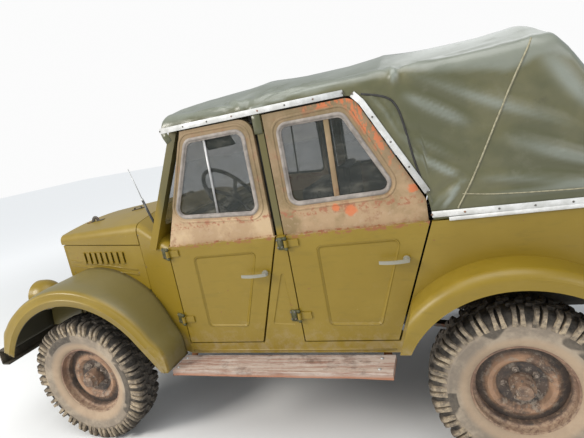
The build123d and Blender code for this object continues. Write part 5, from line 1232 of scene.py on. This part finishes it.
for side, sign in SIDES:
    seed = 11 if sign > 0 else 51
    planks = [plank(0.691, 0.768, seed, sign, 0), plank(0.7715, 0.849, seed + 1, sign, 0.004)]
    boards = put(f"step_boards_{side}", join("boards", planks), BOARD)
    brackets = []
    for x in (-0.455, 0.625):
        foot = [(x, sign * 0.604, 0.515), (x, sign * 0.64, 0.4635), (x, sign * 0.84, 0.4635)]
        brackets.append(sweep("bracket", foot, strip_section(0.036, 0.004), (0, 0, 1)))
    put(f"step_brackets_{side}", join("brackets", brackets), RUSTED)
    bolts = []
    for x in (-0.44, 0.615):
        pair = [(x, sign * 0.725, BOARD_TOP), (x + 0.001, sign * 0.815, BOARD_TOP)]
        bolts.append(heads(pair, GALVANISED, 0.09, 0.009, 0.004, (0, 0, 1)))
    put(f"step_bolts_{side}", join("bolts", bolts), GALVANISED)
    if sign > 0:
        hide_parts("running_boards")


# Body fittings
def turned(name, profile, centre, axis, steps=28):
    """A turned form: (radius, along) points about an axis through a centre."""
    turn = Vector((0, 0, 1)).rotation_difference(Vector(axis)).to_matrix()
    points = []
    for radius, rise in profile:
        points += [Vector(centre) + turn @ Vector((x, y, rise)) for x, y in round_section(radius, steps)]
    return mesh_of(name, points, grid_faces(len(profile), steps, False, True))


COWL_BACK, COWL_FRONT, BAY_FRONT = (0.586, 0.705), (0.835, 0.600), (1.525, 0.470)


def cowl_side(x):
    """Half width of the cowl's side panel."""
    return between(x, COWL_BACK, COWL_FRONT)


def bay_side(x):
    """Half width of the engine bay's side panel."""
    return between(x, COWL_FRONT, BAY_FRONT)


def plated(name, grid, thick):
    """A plate over a grid of points, thickened on the side that the grid's normals point to."""
    run, across = np.gradient(grid, axis=0), np.gradient(grid, axis=1)
    facing = np.cross(run, across)
    facing /= np.linalg.norm(facing, axis=2, keepdims=True)
    rows, columns = grid.shape[:2]
    count = rows * columns
    rim = [row * columns for row in range(rows)]
    rim += [(rows - 1) * columns + column for column in range(1, columns)]
    rim += [row * columns + columns - 1 for row in range(rows - 2, -1, -1)]
    rim += list(range(columns - 2, 0, -1))
    skin = grid_faces(rows, columns)
    faces = skin + [tuple(corner + count for corner in face) for face in skin]
    faces += [(a, b, b + count, a + count) for a, b in zip(rim, rim[1:] + rim[:1])]
    points = np.concatenate([grid.reshape(-1, 3), (grid + facing * thick).reshape(-1, 3)])
    return mesh_of(name, points.tolist(), faces)


FLANGE, CROWN = 0.072, 0.100
WING_FACE_Y, WING_BEAD_Y, CROWN_Y, WALL_FOOT_Z = 0.8715, 0.8748, 0.770, 0.600


def arch_line(grow, first, last, start, end=()):
    """A line round the front wheel, from the heel's points over the arch to the nose's points."""
    radius = ARCH_RADIUS + grow
    angles = [math.radians(t) for t in np.linspace(first, last, 24)]
    arc = [(ARCH_AT[0] + radius * math.cos(t), ARCH_AT[1] + radius * math.sin(t)) for t in angles]
    smooth = catmull([(x, z, 0) for x, z in list(start) + arc + list(end)], 6)
    return np.column_stack(along([(p.x, p.y) for p in smooth], 96))


def wing_inner_y(x):
    """Where the wing meets the cowl, the bonnet side or its own inner wall."""
    if x < COWL_FRONT[0]:
        return cowl_side(x) - 0.004
    return max(bay_side(x) - 0.004, BAY_FRONT[1])


def front_wings():
    """Mudguards: a beaded flange round the wheel, a rounded edge and a crown back to the body."""
    low = arch_line(0, 146, 24, [(0.686, 0.497), (0.745, 0.580)])
    edge = arch_line(FLANGE, 150, 24.5, [(0.6445, 0.497), (0.6475, 0.560), (0.668, 0.610)])
    crown = arch_line(
        CROWN, 150, 65, [(0.641, 0.497), (0.6425, 0.575), (0.655, 0.625)],
        [(1.575, 0.896), (1.690, 0.822), (1.755, 0.762), (1.784, 0.7335), (1.798, 0.670), (1.806, 0.600)],
    )
    flange = (
        (0.0, 0.8655), (0.04, WING_FACE_Y), (0.42, WING_FACE_Y), (0.455, WING_BEAD_Y - 0.001),
        (0.49, WING_BEAD_Y), (0.525, WING_BEAD_Y - 0.001), (0.56, WING_FACE_Y), (0.97, WING_FACE_Y),
    )
    depth, angles = WING_FACE_Y - CROWN_Y, np.linspace(0.06, math.pi / 2, 11)
    bend = [(math.sin(t), CROWN_Y + depth * math.cos(t)) for t in angles]
    grid = []
    for foot, brow, top in zip(low, edge, crown):
        row = [(*(foot + (brow - foot) * share), y) for share, y in flange]
        row += [(*(brow + (top - brow) * share), y) for share, y in bend]
        row += [(*top, y) for y in np.linspace(CROWN_Y, wing_inner_y(top[0]), 6)[1:]]
        grid.append([(x, y, z) for x, z, y in row])
    skin = plated("skin", np.array(grid), 0.005)
    wall = np.array([
        [(x, BAY_FRONT[1], WALL_FOOT_Z + (z - WALL_FOOT_Z) * share) for share in (1.0, 0.66, 0.33, 0.0)]
        for x, z in crown if x > BAY_FRONT[0] and z > WALL_FOOT_Z + 0.002
    ])
    half = join("wing", [skin, plated("wall", wall, 0.005)])
    wings = put("wing_skins", join("wings", [half, mirrored(half)]), WING_PAINT)
    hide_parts("front_wings")


front_wings()


def top_of(node, x, y):
    """Height of a node's upper face above a point of the plan."""
    tree = BVHTree.FromObject(NODES[node], bpy.context.evaluated_depsgraph_get())
    return tree.ray_cast(Vector((x, y, 3)), Vector((0, 0, -1)))[0].z


# Sections of the small fittings
LEAF = strip_section(0.060, 0.005)
ARM = strip_section(0.011, 0.004)
KNUCKLE = ((0, 0), (0.0085, 0), (0.0085, 0.011), (0.0045, 0.014), (0, 0.0145))
VISOR = ((-0.006, -0.115), (0.006, -0.115), (0.009, -0.02), (0.006, 0), (-0.006, 0))
SHADE_PLATE = ((-0.002, 0), (0.002, 0), (0.002, 0.105), (-0.002, 0.105))
HINGE_HEIGHTS, REAR_PIN_X, FRONT_PIN_X = (1.085, 0.717), at(943), at(1598)
DOOR_FACE_Y, COWL_SCREW_X = 0.7052, 0.8275


def on_bay(x, z, sign):
    """A point just proud of the engine bay's side."""
    return (x, sign * (bay_side(x) + 0.0002), z)


def side_beads(sign):
    """Beads of the rear wing, the bonnet side and the sill."""
    lift = (0, sign, 0)
    radius, angles = 0.526, np.linspace(0.47, 2.67, 60)
    arc = [(at(-10) + radius * math.cos(t), sign * 0.8708, TYRE_R + radius * math.sin(t)) for t in angles]
    beads = [sweep("bead", arc, round_section(0.006, 8, 0.65), lift)]
    for z in (0.975, 0.945):
        line = [on_bay(x, z + (x - 0.90) * 0.105, sign) for x in (0.90, 1.10, 1.30, 1.49)]
        beads.append(sweep("side_bead", line, round_section(0.0045, 8, 0.7), lift))
    sill = [(x, sign * DOOR_FACE_Y, 0.531) for x in (0.575, 0.20, -0.20, -0.51)]
    return beads + [sweep("sill_bead", sill, round_section(0.005, 8, 0.6), lift)]


def side_screws(sign):
    """Screws of the bonnet side and of the cowl."""
    bay = [on_bay(x, 0.958, sign) for x in (0.90, 1.48)]
    cowl = [(COWL_SCREW_X, sign * (cowl_side(COWL_SCREW_X) + 0.0002), z) for z in (1.18, 0.62)]
    rows = (bay, 0.19), (cowl, 0.14)
    return [heads(row, STEEL, spacing, 0.0045, 0.002, (0, sign, 0)) for row, spacing in rows]


def hinge(path, pin_x, z, sign):
    """A door hinge: its leaf, the knuckles and arms of its pin, and the leaf's screws."""
    lift = (0, sign, 0)
    near, far = [Vector(point) + Vector((0, sign * 0.005, 0)) for point in path]
    screws = []
    for rise in (Vector((0, 0, -0.018)), Vector((0, 0, 0.018))):
        screws.append(heads([near * 0.65 + far * 0.35 + rise, far + rise], STEEL, 0.5, 0.005, 0.0025, lift))
    pins = []
    for end in (-1, 1):
        pins.append(turned("knuckle", KNUCKLE, (pin_x, sign * 0.717, z + end * 0.019), (0, 0, end), 14))
        arm_z = z + end * 0.0245
        arm = [(pin_x, sign * 0.712, arm_z), (path[0][0] + 0.004, sign * 0.7085, arm_z)]
        pins.append(sweep("arm", arm, ARM, lift))
    return sweep("leaf", path, LEAF, lift), pins, screws


def side_fittings():
    """Beads, door seals, dark plates inside the bonnet sides as painted shade behind the louvres, hinges,
    visors and screws of both sides.
    """
    beads, leaves, pins, screws, liners, seals = [], [], [], [], [], []
    for _, sign in SIDES:
        beads += side_beads(sign)
        screws += side_screws(sign)
        for z in HINGE_HEIGHTS:
            flat = [(x, sign * DOOR_FACE_Y, z) for x in (-0.059, -0.028)]
            slanted = [(x, sign * (cowl_side(x) + 0.0004), z) for x in (0.598, 0.632)]
            for path, pin_x in ((flat, REAR_PIN_X), (slanted, FRONT_PIN_X)):
                leaf, hinge_pins, hinge_screws = hinge(path, pin_x, z, sign)
                leaves.append(leaf)
                pins += hinge_pins
                screws += hinge_screws
        visor = [(0.425, sign * y, 1.672) for y in (0.09, 0.42)]
        leaves.append(sweep("visor", visor, VISOR, (0.45, 0, 1)))
        seal = [(0.000, sign * 0.648, 1.135), (-0.002, sign * 0.648, 1.655)]
        seals.append(sweep("seal", seal, strip_section(0.034, 0.006), (0, sign, 0)))
        # Painted shade: a dark plate inside each bonnet side, seen through the louvres
        shade_plate = [(x, sign * (bay_side(x) - 0.045), 1.010) for x in (0.90, 1.46)]
        liners.append(sweep("shade_plate", shade_plate, SHADE_PLATE, (0, 0, 1)))
    put("body_beads", join("beads", beads), PAINT)
    put("door_seals", join("seals", seals), SEAL)
    put("bay_shade_plates", join("liners", liners), CHASSIS)
    put("hinge_leaves", join("leaves", leaves), HINGE_PAINT)
    put("hinge_knuckles", join("knuckles", pins), HINGE_PAINT)
    put("body_screws", join("screws", screws), STEEL)


def aerial():
    """Aerial on the left cowl: its rubber foot, a ferrule and a short mast."""
    rod = [(0.650, 0.664, 1.235), (0.672, 0.663, 1.300), (0.693, 0.662, 1.374)]
    put("aerial_base", sweep("base", rod, round_section(0.0065, 10)), PLASTIC)
    line = [(0.691, 0.662, 1.368), (0.712, 0.661, 1.455), (0.736, 0.660, 1.548)]
    mast = sweep("mast", line, round_section(0.0022, 8))
    ferrule = sweep("ferrule", [(0.692, 0.662, 1.370), (0.6965, 0.662, 1.388)], round_section(0.006, 10))
    put("aerial", join("aerial", [mast, ferrule]), GALVANISED)


def bonnet_brackets():
    """A loop between two plates and a keeper on a third, all on the bonnet."""
    seat = top_of("bonnet", 1.420, 0.26) - 0.004
    angles = np.linspace(0, math.pi, 13)
    loop = [(1.415 + 0.022 * math.cos(t), 0.26, seat + 0.030 * math.sin(t)) for t in angles]
    brackets = [sweep("loop", loop, strip_section(0.022, 0.004), (0, 1, 0))]
    for middle, y, half in ((1.455, 0.26, 0.025), (1.375, 0.26, 0.025), (1.13, 0.17, 0.0425)):
        plate = [(x, y, top_of("bonnet", x, y) - 0.0005) for x in (middle - half, middle, middle + half)]
        brackets.append(sweep("plate", plate, strip_section(0.030, 0.0045), (0, 0, 1)))
    keeper = []
    for x, rise in ((1.100, 0.003), (1.106, 0.012), (1.154, 0.012), (1.160, 0.003)):
        keeper.append((x, 0.17, top_of("bonnet", x, 0.17) + rise))
    brackets.append(sweep("keeper", keeper, strip_section(0.014, 0.003), (0, 0, 1)))
    put("bonnet_brackets", join("brackets", brackets), CAST, "bonnet")


def dials():
    """Dials of the dashboard, each in a bright ring."""
    faces, rims = [], []
    for y, radius in ((0.0, 0.055), (-0.12, 0.034), (0.12, 0.034), (-0.20, 0.028)):
        centre, backwards = (0.5862, y, 1.035), (-1, 0, 0)
        face = ((0, 0), (radius, 0), (radius, 0.004), (0, 0.005))
        rim = [(radius + out, rise) for out, rise in (
            (0, 0), (0.005, 0), (0.004, 0.009), (0, 0.010), (-0.002, 0.006), (0, 0))]
        faces.append(turned("dial", face, centre, backwards))
        rims.append(turned("ring", rim, centre, backwards))
    put("dials", join("dials", faces), DIAL)
    put("dial_rims", join("rims", rims), GALVANISED)


side_fittings()
aerial()
bonnet_brackets()
dials()


# Seats
PAD_INSET, PAD_VOXEL, PAD_SWELL, CHANNEL = 0.008, 0.010, 0.014, 0.014
CLOTH_FRAMES = 15


def swell(mesh, start):
    """How far cloth simulation blows each point of a closed mesh out, within a limit."""
    holder = link("holder", mesh)
    cloth = holder.modifiers.new("cloth", "CLOTH")
    cloth.settings.use_pressure = True
    cloth.settings.uniform_pressure_force = 4
    cloth.settings.effector_weights.gravity = 0
    cloth.settings.quality = 4
    for number in range(1, CLOTH_FRAMES + 1):
        bpy.context.scene.frame_set(number)
    swollen = plain_mesh(holder)
    bpy.context.scene.frame_set(1)
    moved = np.array([v.co for v in swollen.vertices]) - start
    far = np.linalg.norm(moved, axis=1, keepdims=True)
    return moved * np.minimum(1, PAD_SWELL / np.maximum(far, 1e-9))


def pillow(name, low, high, seams):
    """A stuffed pad: a box swollen by cloth simulation, then its sewn channels pressed in."""
    low, high = Vector(low), Vector(high)
    size = high - low - Vector((PAD_INSET, PAD_INSET, PAD_INSET)) * 2
    work = bmesh.new()
    bmesh.ops.create_cube(work, size=1)
    bmesh.ops.scale(work, vec=size, verts=work.verts)
    bmesh.ops.translate(work, vec=(low + high) / 2, verts=work.verts)
    bmesh.ops.bevel(
        work, geom=work.edges[:], offset=min(size) * 0.3, segments=4, profile=0.6, affect="EDGES"
    )
    mesh = bpy.data.meshes.new(name)
    work.to_mesh(mesh)
    work.free()
    holder = link("holder", mesh)
    remesh = holder.modifiers.new("remesh", "REMESH")
    remesh.mode = "VOXEL"
    remesh.voxel_size = PAD_VOXEL
    smooth = plain_mesh(holder)
    place = np.array([v.co for v in smooth.vertices])
    place = place + swell(smooth, place)
    share = (place - np.array(low)) / np.array(high - low)
    channels = np.zeros(len(place))
    for seam in seams:
        channels += np.exp(-((place[:, 1] - seam) / 0.010) ** 2)
    thin = 2 if size.z < size.x else 0
    front = np.clip((share[:, thin] - 0.55) / 0.3, 0, 1)
    place[:, thin] -= CHANNEL * channels * front
    place = np.clip(place, np.array(low) + 0.0005, np.array(high) - 0.0005 + (0, 0, 0.004))
    smooth.vertices.foreach_set("co", place.ravel())
    smooth.update()
    for polygon in smooth.polygons:
        polygon.use_smooth = True
    piece = put(name, smooth, SEAT)
    finer = piece.modifiers.new("finer", "SUBSURF")
    finer.levels = finer.render_levels = 1
    return piece


def seats():
    """Front seats and the rear bench, each a pad and a back."""
    for side, sign in SIDES:
        y = sorted((sign * 0.140, sign * 0.600))
        seams = [sign * v for v in (0.255, 0.370, 0.485)]
        cushion = pillow(f"seat_pad_{side}", (-0.135, y[0], 0.850), (0.315, y[1], 0.950), seams)
        pillow(f"seat_back_{side}", (-0.225, y[0], 0.960), (-0.145, y[1], 1.330), seams)
        if sign > 0:
            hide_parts("front_seats")
    bench_seams = (-0.35, -0.175, 0, 0.175, 0.35)
    bench = pillow("bench_pad", (-0.905, -0.520, 0.850), (-0.455, 0.520, 0.950), bench_seams)
    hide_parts("rear_seat")
    pillow("bench_back", (-0.985, -0.520, 0.930), (-0.910, 0.520, 1.330), bench_seams)


seats()


# Stage, light and camera
CAMERA_AT = Vector((-0.8044, 2.5674, 1.6069))
YAW, PITCH, ROLL = math.radians(20.127), math.radians(11.669), math.radians(-10.65)
SENSOR_MM, LENS_MM = 36, 27.12


FLOOR = 40
# Each lamp's name, place, size and power
LAMPS = (
    ("key", (4.9, 4.3, 4.2), 2.2, 330), ("fill", (-4.6, 4.6, 3.4), 3.0, 75),
    ("back", (-2.0, -5.0, 4.5), 3.5, 40), ("top", (-0.3, 1.6, 5.4), 4.0, 150),
)
KEY_COLOUR, LAMPS_AIM = (1.0, 0.96, 0.90), Vector((0, 0, 0.7))


def ground():
    """Pale floor that glows far out, so that it has no edge against the sky."""
    finish = Finish("pale_floor", (0.80, 0.80, 0.79))
    finish.lay((0.83, 0.83, 0.82), finish.noise(3, 4, 0.6))
    far = finish.step(finish.distance(finish.x, finish.y), 3.2, 9.0)
    glow = finish.colour((0, 0, 0), (1, 1, 1), far)
    finish.surface(rough=0.9, specular=0.2, glow=glow, glow_power=0.45)
    corners = [(-FLOOR, -FLOOR, 0), (FLOOR, -FLOOR, 0), (FLOOR, FLOOR, 0), (-FLOOR, FLOOR, 0)]
    mesh = mesh_of("floor", corners, [(0, 1, 2, 3)], False, False)
    mesh.materials.append(finish.material)
    floor = link("floor", mesh)


def sky():
    """Soft blue light all round, seen as white by the camera."""
    world = bpy.data.worlds.new("studio")
    bpy.context.scene.world = world
    world.use_nodes = True
    tree = world.node_tree
    tree.nodes.clear()
    ray = add_node(tree, "ShaderNodeLightPath").outputs
    seen = {0: ray["Is Camera Ray"], 1: ray["Is Transmission Ray"]}
    share = add_node(tree, "ShaderNodeMath", {"operation": "MAXIMUM"}, seen)
    soft, bright = (
        add_node(tree, "ShaderNodeBackground", None, {"Color": colour, "Strength": strength})
        for colour, strength in (((0.88, 0.94, 1.0, 1), 0.52), ((1, 1, 1, 1), 0.97))
    )
    both = {0: share.outputs[0], 1: soft.outputs[0], 2: bright.outputs[0]}
    mix = add_node(tree, "ShaderNodeMixShader", None, both)
    add_node(tree, "ShaderNodeOutputWorld", None, {"Surface": mix.outputs[0]})


def lamps():
    """Four square lamps that look at the car's middle."""
    for name, spot, size, power in LAMPS:
        lamp = bpy.data.lights.new(name, "AREA")
        lamp.size = size
        lamp.energy = power
        lamp.color = KEY_COLOUR if name == "key" else (1, 1, 1)
        holder = link(name, lamp)
        holder.location = spot
        holder.rotation_euler = (LAMPS_AIM - Vector(spot)).to_track_quat("-Z", "Y").to_euler()


def camera():
    """The camera at the photograph's angle."""
    level = math.cos(PITCH)
    forward = Vector((math.sin(YAW) * level, -math.cos(YAW) * level, -math.sin(PITCH)))
    right = forward.cross(Vector((0, 0, 1))).normalized()
    top = right.cross(forward)
    right, top = (
        math.cos(ROLL) * right + math.sin(ROLL) * top,
        -math.sin(ROLL) * right + math.cos(ROLL) * top,
    )
    lens = bpy.data.cameras.new("camera")
    lens.sensor_width = SENSOR_MM
    lens.lens = LENS_MM
    lens.clip_end = 200
    holder = link("camera", lens)
    turn = Matrix((right, top, -forward)).transposed()
    holder.matrix_world = Matrix.Translation(CAMERA_AT) @ turn.to_4x4()
    bpy.context.scene.camera = holder


ground()
sky()
lamps()
camera()
bpy.context.scene.view_settings.view_transform = "Standard"
